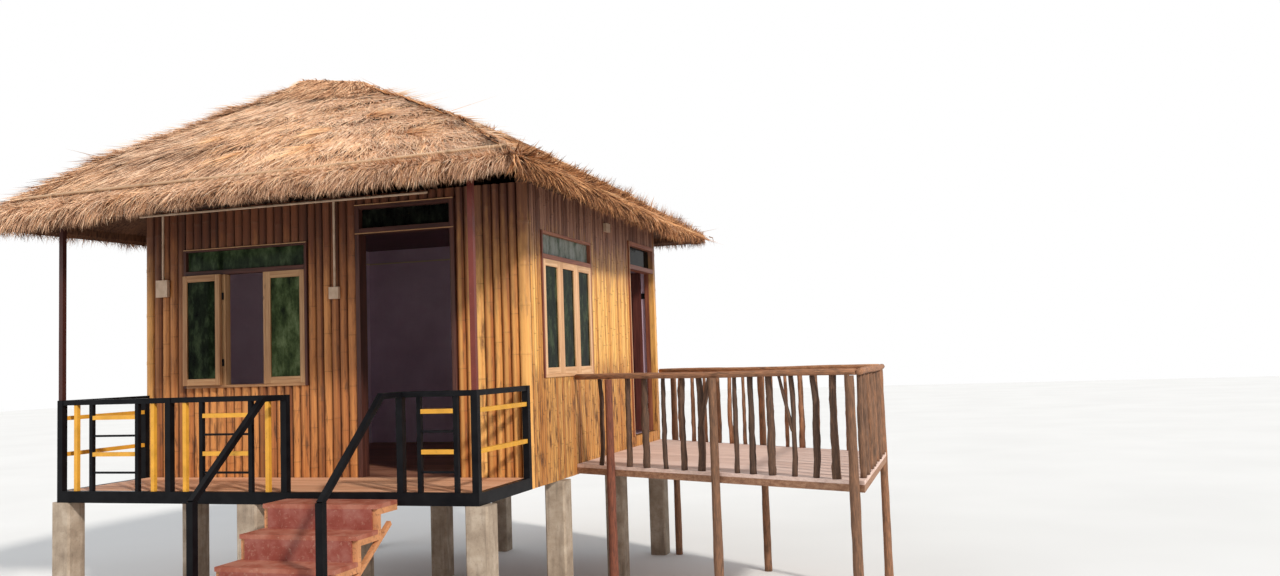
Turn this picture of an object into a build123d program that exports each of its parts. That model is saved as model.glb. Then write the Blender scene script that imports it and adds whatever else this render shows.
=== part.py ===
from build123d import *
import os
from math import atan2, cos, degrees, hypot, radians, sin

# A one-room bamboo house on short concrete pillars, under a thatched hip roof,
# with a railed veranda and stair in front and a skew log-railed deck at its side.
# Millimetres, +Z up. The origin is the foot of the front right pillar on the lowest ground,
# +X runs right along the front wall and +Y runs to the back.

# Levels
floor_height = 1235.0
frame_depth = 90.0
board_thickness = 30.0
ceiling_height = 2290.0
wall_height = 2320.0
joist_width = 70.0
floor_bays = 6
joint_gap = 0.3

# Room and veranda in plan
room_width = 3660.0
room_depth = 3660.0
veranda_depth = 943.0
pillar_size = 175.0
pillar_proud = 60.0
pillar_chamfer = 14.0

# Walls
stud_depth = 58.0
round_culm_pitch = 82.0
round_culm_bulge = 30.0
split_culm_pitch = 45.0
split_culm_bulge = 12.0
round_culm_flat_count = 4
split_culm_flat_count = 3
lining_thickness = 12.0
corner_rounding = 38.0
ceiling_thickness = 12.0

# Openings, measured leftwards from the right end of the front wall
# and backwards from the front end of the right wall
window_sill = 762.0
window_transom = 1737.0
window_head = 1970.0
front_window_near = 1999.0
front_window_width = 1240.0
side_window_near = 307.0
side_window_width = 1190.0
front_door_near = 624.0
front_door_width = 906.0
front_door_bar = 1997.0
front_door_head = 2243.0
side_door_near = 2657.0
side_door_sill = 105.0
side_door_bar = 1822.0
side_door_head = 2109.0

# Joinery
frame_width = 40.0
frame_proud = 8.0
window_frame_depth = 70.0
window_bar = 24.0
transom_height = 40.0
sash_thickness = 32.0
sash_stile = 46.0
sash_rail = 56.0
sash_gap = 0.3
open_sash_gap = 14.0
hinge_radius = 7.0
hinge_length = 60.0
hinge_leaf = 20.0
glass_thickness = 5.0
door_bar_depth = 46.0
leaf_thickness = 35.0
hinge_clearance = 1.0
leaf_panel_inset = 9.0
leaf_stile = 95.0

# Roof, with levels above the floor
ridge_left = 2700.0
ridge_length = 720.0
ridge_back = 1943.0
ridge_level_left = 3600.0
ridge_level_right = 3500.0
eave_front = 257.0
eave_right = 450.0
eave_left = 360.0
eave_rear = 300.0
eave_level_front_left = 2130.0
eave_level_front_right = 2240.0
eave_level_rear_right = 2230.0
eave_level_rear_left = 2215.0
eave_thickness = 105.0
thatch_thickness = 190.0
shoulder_share = 0.3
shoulder_bulge = 60.0
ridge_cap_half = 260.0
ridge_cap_thickness = 70.0
ridge_cap_overhang = 60.0
ridge_cap_inset = 70.0
ridge_cap_end_share = 0.3
plate_width = 80.0
plate_depth = 52.0
rafter_radius = 25.0
rafter_spacing = 640.0
batten_radius = 19.0
batten_share = 0.1
batten_bedding = 5.0
cap_bedding = 14.0
eave_lip_share = 0.02
fringe_drop = 70.0
course_count = 7
course_step = 25.0
course_butt_share = 0.006
roof_post_size = 38.0

# Veranda rail, handrails and stair
rail_height = 712.0
post_size = 50.0
rail_size = 40.0
bar_size = 32.0
thin_bar_size = 16.0
edge_beam_width = 50.0
rail_yellow_offset = 148.0
rail_black_offset = 297.0
short_bay_offset = 150.0
ladder_bars = 4
stair_left = 1570.0
stair_right = 611.0
step_rise = 170.0
step_going = 255.0
first_tread_drop = 45.0
first_tread_depth = 280.0
tread_thickness = 30.0
riser_thickness = 18.0
step_count = 7
stringer_size = 40.0
handrail_flat = 237.0
handrail_run = 730.0
handrail_foot = 65.0

# Side deck
deck_near = 1000.0
deck_rear_setback = 20.0
deck_reach = 2550.0
deck_near_skew = 1200.0
deck_far_skew = 1740.0
deck_board = 28.0
deck_beam_depth = 52.0
deck_beam_width = 70.0
deck_rail_height = 750.0
deck_rail_radius = 24.0
deck_log_radius = 37.0
log_foot_share = 1.05
log_top_share = 0.9
log_sides = 10
stick_radius = 21.0
stick_sides = 7
stick_spacing = 190.0
stick_bow = 14.0

# Places along the deck's edges, as shares of their length
near_posts = (0.156, 0.549, 0.98)
near_sticks = (0.098, 0.214, 0.281, 0.354, 0.424, 0.485, 0.608, 0.661, 0.722, 0.792, 0.857, 0.918)
near_forks = (0.485, 0.792)
fork_reach = 95.0
fork_lean = 45.0
far_posts = (0.02, 0.5, 0.935)

# Wiring on the walls
conduit_radius = 10.0
conduit_height = 2296.0
conduit_overrun = 40.0
conduit_end = 850.0
box_depth = 32.0
left_drop = 3454.0
left_box_half = 60.0
left_box_levels = (1568.0, 1717.0)
right_drop = 1725.0
right_box_half = 45.0
right_box_levels = (1471.0, 1570.0)
side_box_start = 1890.0
side_box_length = 120.0
side_box_levels = (2120.0, 2200.0)

# Worked out from the sizes above
right_face = pillar_size / 2 - pillar_proud
left_face = right_face - room_width
veranda_front = -pillar_size / 2
wall_front = veranda_front + veranda_depth
wall_rear = wall_front + room_depth
pillar_top = floor_height - frame_depth
cladding_depth = round_culm_bulge + stud_depth
wall_depth = cladding_depth + lining_thickness
side_door_far = room_depth - cladding_depth
leaf_gap = hinge_radius + hinge_clearance
deck_far = room_depth - deck_rear_setback


def block(x, y, z):
    """A box from three (low, high) pairs."""
    size = (x[1] - x[0], y[1] - y[0], z[1] - z[0])
    middle = ((x[0] + x[1]) / 2, (y[0] + y[1]) / 2, (z[0] + z[1]) / 2)
    return Pos(*middle) * Box(*size)


def above_floor(low, high):
    """A (low, high) pair of levels given from the floor."""
    return floor_height + low, floor_height + high


def pole(start, end, radius):
    """A straight round pole."""
    run = Vector(*end) - Vector(*start)
    return Plane(origin=start, z_dir=run) * Pos(0, 0, run.length / 2) * Cylinder(radius, run.length)


def square_bar(start, end, size, side=(1, 0, 0)):
    """A square bar between two points, with one face square to the side direction."""
    run = Vector(*end) - Vector(*start)
    frame = Plane(origin=start, x_dir=side, z_dir=run)
    return frame * Pos(0, 0, run.length / 2) * Box(size, size, run.length)


def fused(shapes):
    """One solid from shapes that meet."""
    return shapes[0] if len(shapes) == 1 else shapes[0].fuse(*shapes[1:])


def prism(points, low, high):
    """An upright prism on a plan outline."""
    outline = [(x, y, low) for x, y in points]
    return Solid.extrude(Face(Wire.make_polygon(outline, close=True)), Vector(0, 0, high - low))


def crooked_stick(foot, height, radius, lean, bow, phase):
    """A tapering stick whose middle bows out of line, as a loft of small polygons."""
    sections = []
    for step in range(4):
        share = step / 3
        sway = sin(radians(180 * share))
        x = foot[0] + lean[0] * share + bow * sway * cos(phase)
        y = foot[1] + lean[1] * share + bow * sway * sin(phase)
        ring = radius * (1.08 - 0.22 * share)
        sketch = Pos(x, y, foot[2] + height * share) * RegularPolygon(ring, stick_sides)
        sections.append(sketch)
    return loft(sections, ruled=True)


def forked_stick(foot, height, radius, side, split):
    """A stick with a branch that leaves it at a share of its height and reaches the same level."""
    trunk = crooked_stick(foot, height, radius, (0, 0), 0.85 * stick_bow, 0.4)
    start = height * split
    branch_foot = (foot[0], foot[1], foot[2] + start)
    branch = crooked_stick(branch_foot, height - start, radius * 0.72, side, 0, 0)
    return fused([trunk, branch])


# Walls and openings


def culm_profile(length, pitch, bulge, flats):
    """Plan of a wall panel: flat behind, a row of culms in front, each of a few flats, outside towards -Y."""
    count = max(1, round(length / pitch))
    step = length / count
    turns = [radians(180 * flat / flats) for flat in range(1, flats + 1)]
    crest = max(sin(turn) for turn in turns)
    points = [(0, bulge, 0)]
    for index in range(count):
        for turn in turns:
            across = (index + 0.5 - 0.5 * cos(turn)) * step
            points.append((across, bulge * (1 - sin(turn) / crest), 0))
    points += [(length, cladding_depth, 0), (0, cladding_depth, 0)]
    return Face(Wire.make_polygon(points, close=True))


def culm_panel(start, end, low, high, pitch, bulge, flats):
    """A panel of upright culms between two distances along its wall and two levels above the floor."""
    face = culm_profile(end - start - 2 * joint_gap, pitch, bulge, flats)
    panel = Solid.extrude(face, Vector(0, 0, high - low))
    return Pos(start + joint_gap, 0, floor_height + low) * panel


def front_placed(shape):
    """From wall coordinates, measured leftwards from the right end, to the front wall."""
    return Pos(right_face, wall_front, 0) * shape


def side_placed(shape):
    """From wall coordinates, measured backwards from the front end, to the right wall."""
    return Pos(right_face, wall_front, 0) * Rot(Z=90) * shape


def front_span(near, far):
    """A stretch of the front wall as low and high X in wall coordinates."""
    return -far, -near


def front_round_panel(near, far, low, high):
    """A stretch of the front wall in whole round culms."""
    start, end = front_span(near, far)
    panel = culm_panel(start, end, low, high, round_culm_pitch, round_culm_bulge, round_culm_flat_count)
    return front_placed(panel)


def side_split_panel(near, far, low, high):
    """A stretch of the right wall in split bamboo."""
    panel = culm_panel(near, far, low, high, split_culm_pitch, split_culm_bulge, split_culm_flat_count)
    return side_placed(panel)


front_window_far = front_window_near + front_window_width
front_door_far = front_door_near + front_door_width
side_window_far = side_window_near + side_window_width


def make_front_wall():
    """The front wall, split beside, under and over its window and doorway."""
    skirt = -frame_depth
    return {"front_wall": [
        front_round_panel(front_window_far, room_width - cladding_depth, skirt, wall_height),
        front_round_panel(front_door_far, front_window_near, skirt, wall_height),
        front_round_panel(cladding_depth, front_door_near, skirt, wall_height),
        front_round_panel(front_window_near, front_window_far, skirt, window_sill),
        front_round_panel(front_window_near, front_window_far, window_head, wall_height),
        front_round_panel(front_door_near, front_door_far, front_door_head, wall_height),
    ]}


def make_right_wall():
    """The right wall, split beside, under and over its window and doorway."""
    skirt = -frame_depth
    return {"right_wall": [
        side_split_panel(cladding_depth, side_window_near, skirt, wall_height),
        side_split_panel(side_window_far, side_door_near, skirt, wall_height),
        side_split_panel(side_window_near, side_window_far, skirt, window_sill),
        side_split_panel(side_door_near, side_door_far, skirt, side_door_sill),
        side_split_panel(side_window_near, side_window_far, window_head, wall_height),
        side_split_panel(side_door_near, side_door_far, side_door_head, wall_height),
    ]}


def make_plain_walls():
    """The rear and left walls, in split bamboo with no opening."""
    rear = culm_panel(cladding_depth, room_width - cladding_depth, -frame_depth, wall_height,
                      split_culm_pitch, split_culm_bulge, split_culm_flat_count)
    left = culm_panel(cladding_depth, room_depth - cladding_depth, -frame_depth, wall_height,
                      split_culm_pitch, split_culm_bulge, split_culm_flat_count)
    return {
        "rear_wall": [Pos(right_face, wall_rear, 0) * Rot(Z=180) * rear],
        "left_wall": [Pos(left_face, wall_rear, 0) * Rot(Z=-90) * left],
    }


def make_corner_posts():
    """The four rounded bamboo corner posts that the wall panels meet."""
    posts = []
    for x in (left_face, right_face - cladding_depth):
        for y in (wall_front, wall_rear - cladding_depth):
            levels = above_floor(-frame_depth, wall_height)
            post = block((x, x + cladding_depth), (y, y + cladding_depth), levels)
            posts.append(fillet(post.edges().filter_by(Axis.Z), corner_rounding))
    return {"corner_posts": posts}


def opening_prism(place, near, far, low, high):
    """A box through a wall and its lining where it is open."""
    start, end = (-far, -near) if place is front_placed else (near, far)
    return place(block((start, end), (-wall_depth, wall_depth + joint_gap), above_floor(low, high)))


def room_box(inset, low, high):
    """A box inside the outer wall faces, drawn in by an inset."""
    return block(
        (left_face + inset, right_face - inset),
        (wall_front + inset, wall_rear - inset),
        above_floor(low, high),
    )


def make_lining():
    """The plastered inner lining, one ring with the openings cut through it."""
    ring = room_box(cladding_depth + joint_gap, 0, ceiling_height)
    ring = ring - room_box(wall_depth, -1, ceiling_height + 1)
    for cut in (
        opening_prism(front_placed, front_window_near, front_window_far, window_sill, window_head),
        opening_prism(front_placed, front_door_near, front_door_far, -1, front_door_head),
        opening_prism(side_placed, side_window_near, side_window_far, window_sill, window_head),
        opening_prism(side_placed, side_door_near, side_door_far, side_door_sill, side_door_head),
    ):
        ring = ring - cut
    return {"wall_lining": [ring]}


# Windows and doors


def ring_frame(length, height, width, depth):
    """A rectangular frame standing on z = 0, its outer face at y = 0, its length along +X."""
    outer = block((0, length), (0, depth), (0, height))
    return outer - block((width, length - width), (-1, depth + 1), (width, height - width))


def make_window(name, place, start, width):
    """A window: frame with two mullions and a transom, three sashes and their panes."""
    rows = window_transom - window_sill
    frame = ring_frame(width, window_head - window_sill, window_bar, window_frame_depth)
    transom = block(
        (window_bar, width - window_bar),
        (0, window_frame_depth),
        (rows, rows + transom_height),
    )
    bay = (width - 4 * window_bar) / 3
    bars = [transom]
    for index in (1, 2):
        left = index * (bay + window_bar)
        bars.append(block((left, left + window_bar), (0, window_frame_depth), (window_bar, rows)))
    frame = frame.fuse(*bars)
    base = Pos(start, -frame_proud, floor_height + window_sill)
    sash_width = bay - 2 * sash_gap
    sash_height = rows - window_bar - 2 * sash_gap
    sash = Box(sash_width, sash_thickness, sash_height)
    hole = Box(sash_width - 2 * sash_stile, 2 * sash_thickness, sash_height - 2 * sash_rail)
    sash = sash - hole
    pane = Box(
        sash_width - 2 * sash_stile - 2 * joint_gap,
        glass_thickness,
        sash_height - 2 * sash_rail - 2 * joint_gap,
    )
    sashes = []
    panes = []
    hinges = []
    open_bay = 1 if place is front_placed else None
    for index in range(3):
        middle = window_bar + index * (bay + window_bar) + bay / 2
        depth = sash_thickness / 2 + sash_gap
        if index == open_bay:
            hinge_line = middle - bay / 2 - window_bar / 2
            middle = hinge_line - window_bar / 2 + sash_gap - sash_width / 2
            depth = -open_sash_gap - sash_thickness / 2
            hinge_x = hinge_line - window_bar / 2 + sash_gap + hinge_radius
            for share in (0.2, 0.8):
                level = window_bar + sash_gap + sash_height * share
                pin = pole(
                    (hinge_x, -hinge_radius, level - hinge_length / 2),
                    (hinge_x, -hinge_radius, level + hinge_length / 2),
                    hinge_radius - joint_gap,
                )
                leaf = block(
                    (hinge_x - hinge_radius - hinge_leaf, hinge_x),
                    (-open_sash_gap + joint_gap, -joint_gap - hinge_radius),
                    (level - hinge_length / 2, level + hinge_length / 2),
                )
                hinges.append(base * pin.fuse(leaf))
        spot = base * Pos(middle, depth, window_bar + sash_gap + sash_height / 2)
        sashes.append(spot * sash)
        panes.append(spot * pane)
    light = block(
        (window_bar + joint_gap, width - window_bar - joint_gap),
        (window_frame_depth / 2, window_frame_depth / 2 + glass_thickness),
        (rows + transom_height + joint_gap, window_head - window_sill - window_bar - joint_gap),
    )
    panes.append(base * light)
    nodes = {
        name + "_frame": [place(base * frame)],
        name + "_sashes": [place(item) for item in sashes],
        name + "_glass": [place(item) for item in panes],
    }
    if hinges:
        nodes[name + "_hinges"] = [place(item) for item in hinges]
    return nodes


def make_windows():
    """The front window with its middle sash folded back over the left one, and the side window."""
    nodes = make_window("front_window", front_placed, -front_window_far, front_window_width)
    nodes.update(make_window("side_window", side_placed, side_window_near, side_window_width))
    return nodes


def door_frame(width, low, bar, head):
    """Jambs, a bar over the doorway and a head, standing on the sill level, outer face at y = 0."""
    depth = wall_depth + frame_proud
    parts = [
        block((0, frame_width), (0, depth), above_floor(low, head)),
        block((width - frame_width, width), (0, depth), above_floor(low, head)),
        block((frame_width, width - frame_width), (0, depth), above_floor(bar, bar + door_bar_depth)),
        block((frame_width, width - frame_width), (0, depth), above_floor(head - frame_width, head)),
    ]
    return fused(parts)


def door_light(width, bar, head):
    """The pane over a doorway."""
    middle = (wall_depth + frame_proud) / 2
    return block(
        (frame_width + joint_gap, width - frame_width - joint_gap),
        (middle, middle + glass_thickness),
        above_floor(bar + door_bar_depth + joint_gap, head - frame_width - joint_gap),
    )


def make_door_frames():
    """The two door frames and their panes."""
    side_width = side_door_far - side_door_near
    front_spot = Pos(-front_door_far, -frame_proud, 0)
    side_spot = Pos(side_door_near, -frame_proud, 0)
    return {
        "front_door_frame": [
            front_placed(front_spot * door_frame(front_door_width, 0, front_door_bar, front_door_head))
        ],
        "side_door_frame": [
            side_placed(side_spot * door_frame(side_width, side_door_sill, side_door_bar, side_door_head))
        ],
        "door_lights": [
            front_placed(front_spot * door_light(front_door_width, front_door_bar, front_door_head)),
            side_placed(side_spot * door_light(side_width, side_door_bar, side_door_head)),
        ],
    }


def make_side_door():
    """The dark panelled leaf of the side door, standing open into the room along the rear wall."""
    hinge_x = right_face - wall_depth - leaf_gap - leaf_thickness
    hinge_y = wall_rear - wall_depth - leaf_gap
    width = hinge_y - wall_front - side_door_near
    low = side_door_sill + leaf_gap
    height = side_door_bar + frame_width / 2 - low
    leaf = Box(width, leaf_thickness, height)
    panel_height = (height - 3 * leaf_stile) / 2
    for side in (-1, 1):
        for row in (-1, 1):
            recess = Box(width - 2 * leaf_stile, 2 * leaf_panel_inset, panel_height)
            leaf = leaf - Pos(0, side * leaf_thickness / 2, row * (panel_height + leaf_stile) / 2) * recess
    leaf = Pos(hinge_x - width / 2, hinge_y - leaf_thickness / 2, floor_height + low + height / 2) * leaf
    hinges = []
    for share in (0.15, 0.85):
        level = floor_height + low + height * share
        half = hinge_length / 2
        pin_ends = (hinge_x, hinge_y, level - half), (hinge_x, hinge_y, level + half)
        pin = pole(*pin_ends, hinge_radius - joint_gap)
        notch = pole(
            (hinge_x, hinge_y, level - half - joint_gap),
            (hinge_x, hinge_y, level + half + joint_gap),
            hinge_radius,
        )
        strap = block(
            (hinge_x, right_face - wall_depth - joint_gap),
            (hinge_y + joint_gap, hinge_y + leaf_gap - joint_gap),
            (level - half, level + half),
        )
        leaf = leaf - notch
        hinges.append(pin.fuse(strap))
    return {"side_door_leaf": [leaf], "side_door_hinges": hinges}


# Floors and ceiling


def make_floors():
    """Room floor, ceiling and the beams that carry the floor on the pillars."""
    inner = cladding_depth + joint_gap
    low_x, high_x = left_face + inner, right_face - inner
    low_y, high_y = wall_front + inner, wall_rear - inner
    levels = above_floor(-frame_depth, -board_thickness - joint_gap)
    beams = [
        block((low_x, high_x), (low_y, low_y + joist_width), levels),
        block((low_x, high_x), (high_y - joist_width, high_y), levels),
    ]
    pitch = (high_x - low_x - joist_width) / floor_bays
    span = (low_y + joist_width + joint_gap, high_y - joist_width - joint_gap)
    for index in range(floor_bays + 1):
        left = low_x + index * pitch
        beams.append(block((left, left + joist_width), span, levels))
    threshold = block(
        (-front_door_far, -front_door_near),
        (joint_gap, cladding_depth),
        above_floor(-board_thickness, -joint_gap),
    )
    return {
        "floor_beams": beams,
        "room_floor": [room_box(inner, -board_thickness, -joint_gap), front_placed(threshold)],
        "ceiling": [room_box(inner, ceiling_height + joint_gap, ceiling_height + ceiling_thickness)],
    }


def pillar(x, y):
    """A square concrete pillar with chamfered corners, standing on the ground."""
    half = pillar_size / 2
    body = block((x - half, x + half), (y - half, y + half), (0, pillar_top))
    return chamfer(body.edges().filter_by(Axis.Z), pillar_chamfer)


def make_pillars():
    """Four rows of three pillars, the front row in line with the veranda's edge."""
    left = left_face + pillar_size / 2 - pillar_proud
    rows = (0, wall_front + 0.165 * room_depth, wall_front + 0.58 * room_depth, wall_rear - pillar_size / 2)
    columns = (left, right_face - stair_left - 1.9 * pillar_size, 0)
    return {"pillars": [pillar(x, y) for x in columns for y in rows]}


def make_veranda():
    """The black edge beam on three sides, a joist, and the boards between them and the wall."""
    levels = above_floor(-frame_depth, 0)
    span = (veranda_front + edge_beam_width + joint_gap, wall_front - joint_gap)
    middle = (left_face + right_face) / 2
    beams = [
        block((left_face, right_face), (veranda_front, veranda_front + edge_beam_width), levels),
        block((left_face, left_face + edge_beam_width), span, levels),
        block((right_face - edge_beam_width, right_face), span, levels),
        block(
            (middle - edge_beam_width / 2, middle + edge_beam_width / 2),
            span,
            above_floor(-frame_depth, -board_thickness - joint_gap),
        ),
    ]
    boards = block(
        (left_face + edge_beam_width + joint_gap, right_face - edge_beam_width - joint_gap),
        span,
        above_floor(-board_thickness, -joint_gap),
    )
    return {"veranda_frame": beams, "veranda_floor": [boards]}


# Veranda rail and stair


def rail_post(x, y, size, top):
    """An upright square tube on the veranda's edge beam."""
    return block((x - size / 2, x + size / 2), (y - size / 2, y + size / 2), above_floor(0, top))


def front_panel(left, right, offset):
    """A black rail panel along the front: end posts, top rail, uprights and thin ladder bars."""
    y = veranda_front + post_size / 2
    rail_levels = above_floor(rail_height - rail_size, rail_height)
    parts = [
        rail_post(left, y, post_size, rail_height),
        rail_post(right, y, post_size, rail_height),
        block((left, right), (y - rail_size / 2, y + rail_size / 2), rail_levels),
        rail_post(left + offset, y, bar_size, rail_height - rail_size / 2),
        rail_post(right - offset, y, bar_size, rail_height - rail_size / 2),
    ]
    for index in range(1, ladder_bars + 1, 2):
        level = rail_height * index / (ladder_bars + 1)
        parts.append(block(
            (left + offset, right - offset),
            (y - thin_bar_size / 2, y + thin_bar_size / 2),
            above_floor(level - thin_bar_size / 2, level + thin_bar_size / 2),
        ))
    return fused(parts)


def yellow_bars(left, right, offset):
    """The thicker yellow ladder bars between the two uprights of a panel."""
    y = veranda_front + post_size / 2
    bars = []
    for index in range(2, ladder_bars + 1, 2):
        level = rail_height * index / (ladder_bars + 1)
        bars.append(block(
            (left + offset + bar_size / 2 + joint_gap, right - offset - bar_size / 2 - joint_gap),
            (y - bar_size / 2, y + bar_size / 2),
            above_floor(level - bar_size / 2, level + bar_size / 2),
        ))
    return bars


def side_panel(x):
    """A black rail panel at an end of the veranda: a post at the wall, and the top rail."""
    start = veranda_front + post_size
    end = wall_front - joint_gap
    rail = block(
        (x - rail_size / 2, x + rail_size / 2),
        (start + joint_gap, end),
        above_floor(rail_height - rail_size, rail_height),
    )
    return fused([rail, rail_post(x, end - post_size / 2, post_size, rail_height)])


def side_yellow_bars(x):
    """The two yellow bars under the rail at an end of the veranda."""
    start = veranda_front + post_size + joint_gap
    end = wall_front - post_size - 2 * joint_gap
    bars = []
    for index in range(2, ladder_bars + 1, 2):
        level = rail_height * index / (ladder_bars + 1)
        bars.append(block(
            (x - bar_size / 2, x + bar_size / 2),
            (start, end),
            above_floor(level - bar_size / 2, level + bar_size / 2),
        ))
    return bars


def make_railings():
    """Black steel rail panels round the veranda, with their yellow bars."""
    corner_left = left_face + post_size / 2
    corner_right = right_face - post_size / 2
    stair_post_left = right_face - stair_left
    stair_post_right = right_face - stair_right
    middle = (corner_left + stair_post_left) / 2
    left_panel = fused([
        front_panel(corner_left, middle, rail_black_offset),
        front_panel(middle, stair_post_left, rail_black_offset),
    ])
    right_panel = front_panel(stair_post_right, corner_right, short_bay_offset)
    yellow = yellow_bars(corner_left, middle, rail_black_offset)
    yellow += yellow_bars(middle, stair_post_left, rail_black_offset)
    yellow += yellow_bars(stair_post_right, corner_right, short_bay_offset)
    y = veranda_front + post_size / 2
    for left, right in ((corner_left, middle), (middle, stair_post_left)):
        for x in (left + rail_yellow_offset, right - rail_yellow_offset):
            yellow.append(rail_post(x, y, bar_size, rail_height - rail_size - joint_gap))
    for x in (corner_left, corner_right):
        yellow += side_yellow_bars(x)
    return {
        "front_railings": [left_panel, right_panel],
        "side_railings": [side_panel(corner_left), side_panel(corner_right)],
        "yellow_rail_bars": yellow,
    }


def stair_front(index):
    """Front edge of a tread, counted from the veranda."""
    return veranda_front - first_tread_depth - index * step_going


def tread_top(index):
    """Level of a tread, counted from the veranda."""
    return floor_height - first_tread_drop - index * step_rise


def make_stair():
    """Treads, risers and open steel stringers, equal steps down to the ground."""
    left = right_face - stair_left + post_size / 2 + joint_gap
    right = right_face - stair_right - post_size / 2 - joint_gap
    treads = []
    risers = []
    for index in range(step_count):
        top = tread_top(index)
        back = veranda_front - joint_gap if index == 0 else stair_front(index - 1) + riser_thickness
        treads.append(block((left, right), (stair_front(index), back), (top - tread_thickness, top)))
        foot = tread_top(index + 1) if index + 1 < step_count else 0
        risers.append(block(
            (left + stringer_size, right - stringer_size),
            (stair_front(index) + joint_gap, stair_front(index) + riser_thickness),
            (foot + joint_gap, top - tread_thickness - joint_gap),
        ))
    stringers = []
    for x in (left + stringer_size / 2, right - stringer_size / 2):
        parts = []
        for index in range(step_count):
            y = stair_front(index) + riser_thickness + joint_gap + stringer_size / 2
            top = tread_top(index) - tread_thickness - joint_gap
            back = veranda_front - joint_gap if index == 0 else stair_front(index - 1) + stringer_size
            foot = top - step_rise - stringer_size if index + 1 < step_count else 0
            parts.append(block(
                (x - stringer_size / 2, x + stringer_size / 2),
                (y - stringer_size / 2, back),
                (top - stringer_size, top),
            ))
            parts.append(block(
                (x - stringer_size / 2, x + stringer_size / 2),
                (y - stringer_size / 2, y + stringer_size / 2),
                (max(foot, 0), top),
            ))
        level = tread_top(0) - tread_thickness - step_rise + 1.25 * stringer_size
        start = (x, veranda_front - 2 * stringer_size, level)
        slope = step_rise / step_going
        reach = (start[2] - stringer_size) / slope
        end = (x, start[1] - reach, stringer_size)
        parts.append(square_bar(start, end, stringer_size * 0.8))
        stringers.append(fused(parts))
    return {"stair_treads": treads, "stair_risers": risers, "stair_stringers": stringers}


def make_handrails():
    """Black tube handrails at both sides of the stair: level, sloping, then a post to the ground."""
    rails = []
    for x in (right_face - stair_left, right_face - stair_right):
        level = floor_height + rail_height - rail_size / 2
        start = (x, veranda_front - joint_gap, level)
        knee = (x, veranda_front - handrail_flat, level)
        low = (x, veranda_front - handrail_flat - handrail_run, floor_height + handrail_foot)
        run = Vector(*low) - Vector(*knee)
        extra = run.normalized() * (rail_size / 4)
        knee_past = (x, knee[1] - rail_size / 4, level)
        parts = [
            square_bar(start, knee_past, rail_size),
            square_bar(knee, Vector(*low) + extra, rail_size),
            block(
                (x - post_size / 2, x + post_size / 2),
                (low[1] - post_size / 2, low[1] + post_size / 2),
                (0, low[2]),
            ),
        ]
        rails.append(fused(parts))
    return {"handrails": rails}


# Roof


def roof_corner(side_x, side_y, level):
    """Plan place and underside level of an eave corner."""
    return side_x, side_y, floor_height + level


roof_front_left = roof_corner(left_face - eave_left, veranda_front - eave_front, eave_level_front_left)
roof_front_right = roof_corner(right_face + eave_right, veranda_front - eave_front, eave_level_front_right)
roof_rear_right = roof_corner(right_face + eave_right, wall_rear + eave_rear, eave_level_rear_right)
roof_rear_left = roof_corner(left_face - eave_left, wall_rear + eave_rear, eave_level_rear_left)
ridge_end_left = (
    right_face - ridge_left,
    veranda_front + ridge_back,
    floor_height + ridge_level_left - thatch_thickness,
)
ridge_end_right = (
    right_face - ridge_left + ridge_length,
    veranda_front + ridge_back,
    floor_height + ridge_level_right - thatch_thickness,
)
roof_slopes = {
    "thatch_front": (roof_front_left, roof_front_right, ridge_end_right, ridge_end_left),
    "thatch_right": (roof_front_right, roof_rear_right, ridge_end_right, ridge_end_right),
    "thatch_rear": (roof_rear_right, roof_rear_left, ridge_end_left, ridge_end_right),
    "thatch_left": (roof_rear_left, roof_front_left, ridge_end_left, ridge_end_left),
}


def hip_point(corner, peak, share, lift, extra=0):
    """A point over a hip at shares of the way up it and through the thatch, with an extra depth on top."""
    under = [corner[axis] + (peak[axis] - corner[axis]) * share for axis in range(3)]
    swell = min(share / shoulder_share, (1 - share) / (1 - shoulder_share))
    thick = eave_thickness + (thatch_thickness - eave_thickness) * share + shoulder_bulge * swell
    return Vector(under[0], under[1], under[2] + lift * thick + extra)


def facets(a, b, c, d):
    """Two triangles over four points, leaving out one that has no area."""
    faces = []
    for corners in ((a, b, c), (a, c, d)):
        if (corners[1] - corners[0]).cross(corners[2] - corners[0]).length > 1:
            faces.append(Face(Wire.make_polygon(corners, close=True)))
    return faces


def thatch_section():
    """Outline over a hip, as shares up and through the thatch and extra depths: fringe, then courses."""
    section = [(eave_lip_share, 0, 0), (0.8 * eave_lip_share, 0, -0.9 * fringe_drop), (0, 0, -fringe_drop)]
    section += [(0, 0.62, 0), (0.022, 1, 0)]
    for course in range(1, course_count):
        share = course / course_count
        section.append((share, 1, 0))
        section.append((share + course_butt_share, 1, course_step))
    return section + [(1, 1, 0), (1, 0, 0)]


def thatch_slope(corner_a, corner_b, peak_b, peak_a):
    """One slope of thatch between two hips, in courses whose butt ends stand over the course below."""
    section = thatch_section()
    side_a = [hip_point(corner_a, peak_a, *place) for place in section]
    side_b = [hip_point(corner_b, peak_b, *place) for place in section]
    faces = []
    for index in range(len(section)):
        after = (index + 1) % len(section)
        faces += facets(side_a[index], side_b[index], side_b[after], side_a[after])
    faces.append(Face(Wire.make_polygon(side_a, close=True)))
    faces.append(Face(Wire.make_polygon(side_b, close=True)))
    return Solid(Shell(faces))


def underside_tilt(slope, at_first_hip):
    """Upright part of the unit normal of a slope's underside beside one of its hips."""
    a, b, peak_b, peak_a = (Vector(*point) for point in roof_slopes[slope])
    pointed = (peak_a - peak_b).length < 1
    third = a if at_first_hip or pointed else peak_b
    normal = (b - peak_a).cross(third - peak_a).normalized()
    return abs(normal.Z)


def under_pole(start, end, tilt, radius):
    """A pole just below a line of the thatch's underside, whose steepest face has the given tilt."""
    drop = (radius + joint_gap) / tilt
    return pole((start.X, start.Y, start.Z - drop), (end.X, end.Y, end.Z - drop), radius)


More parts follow.
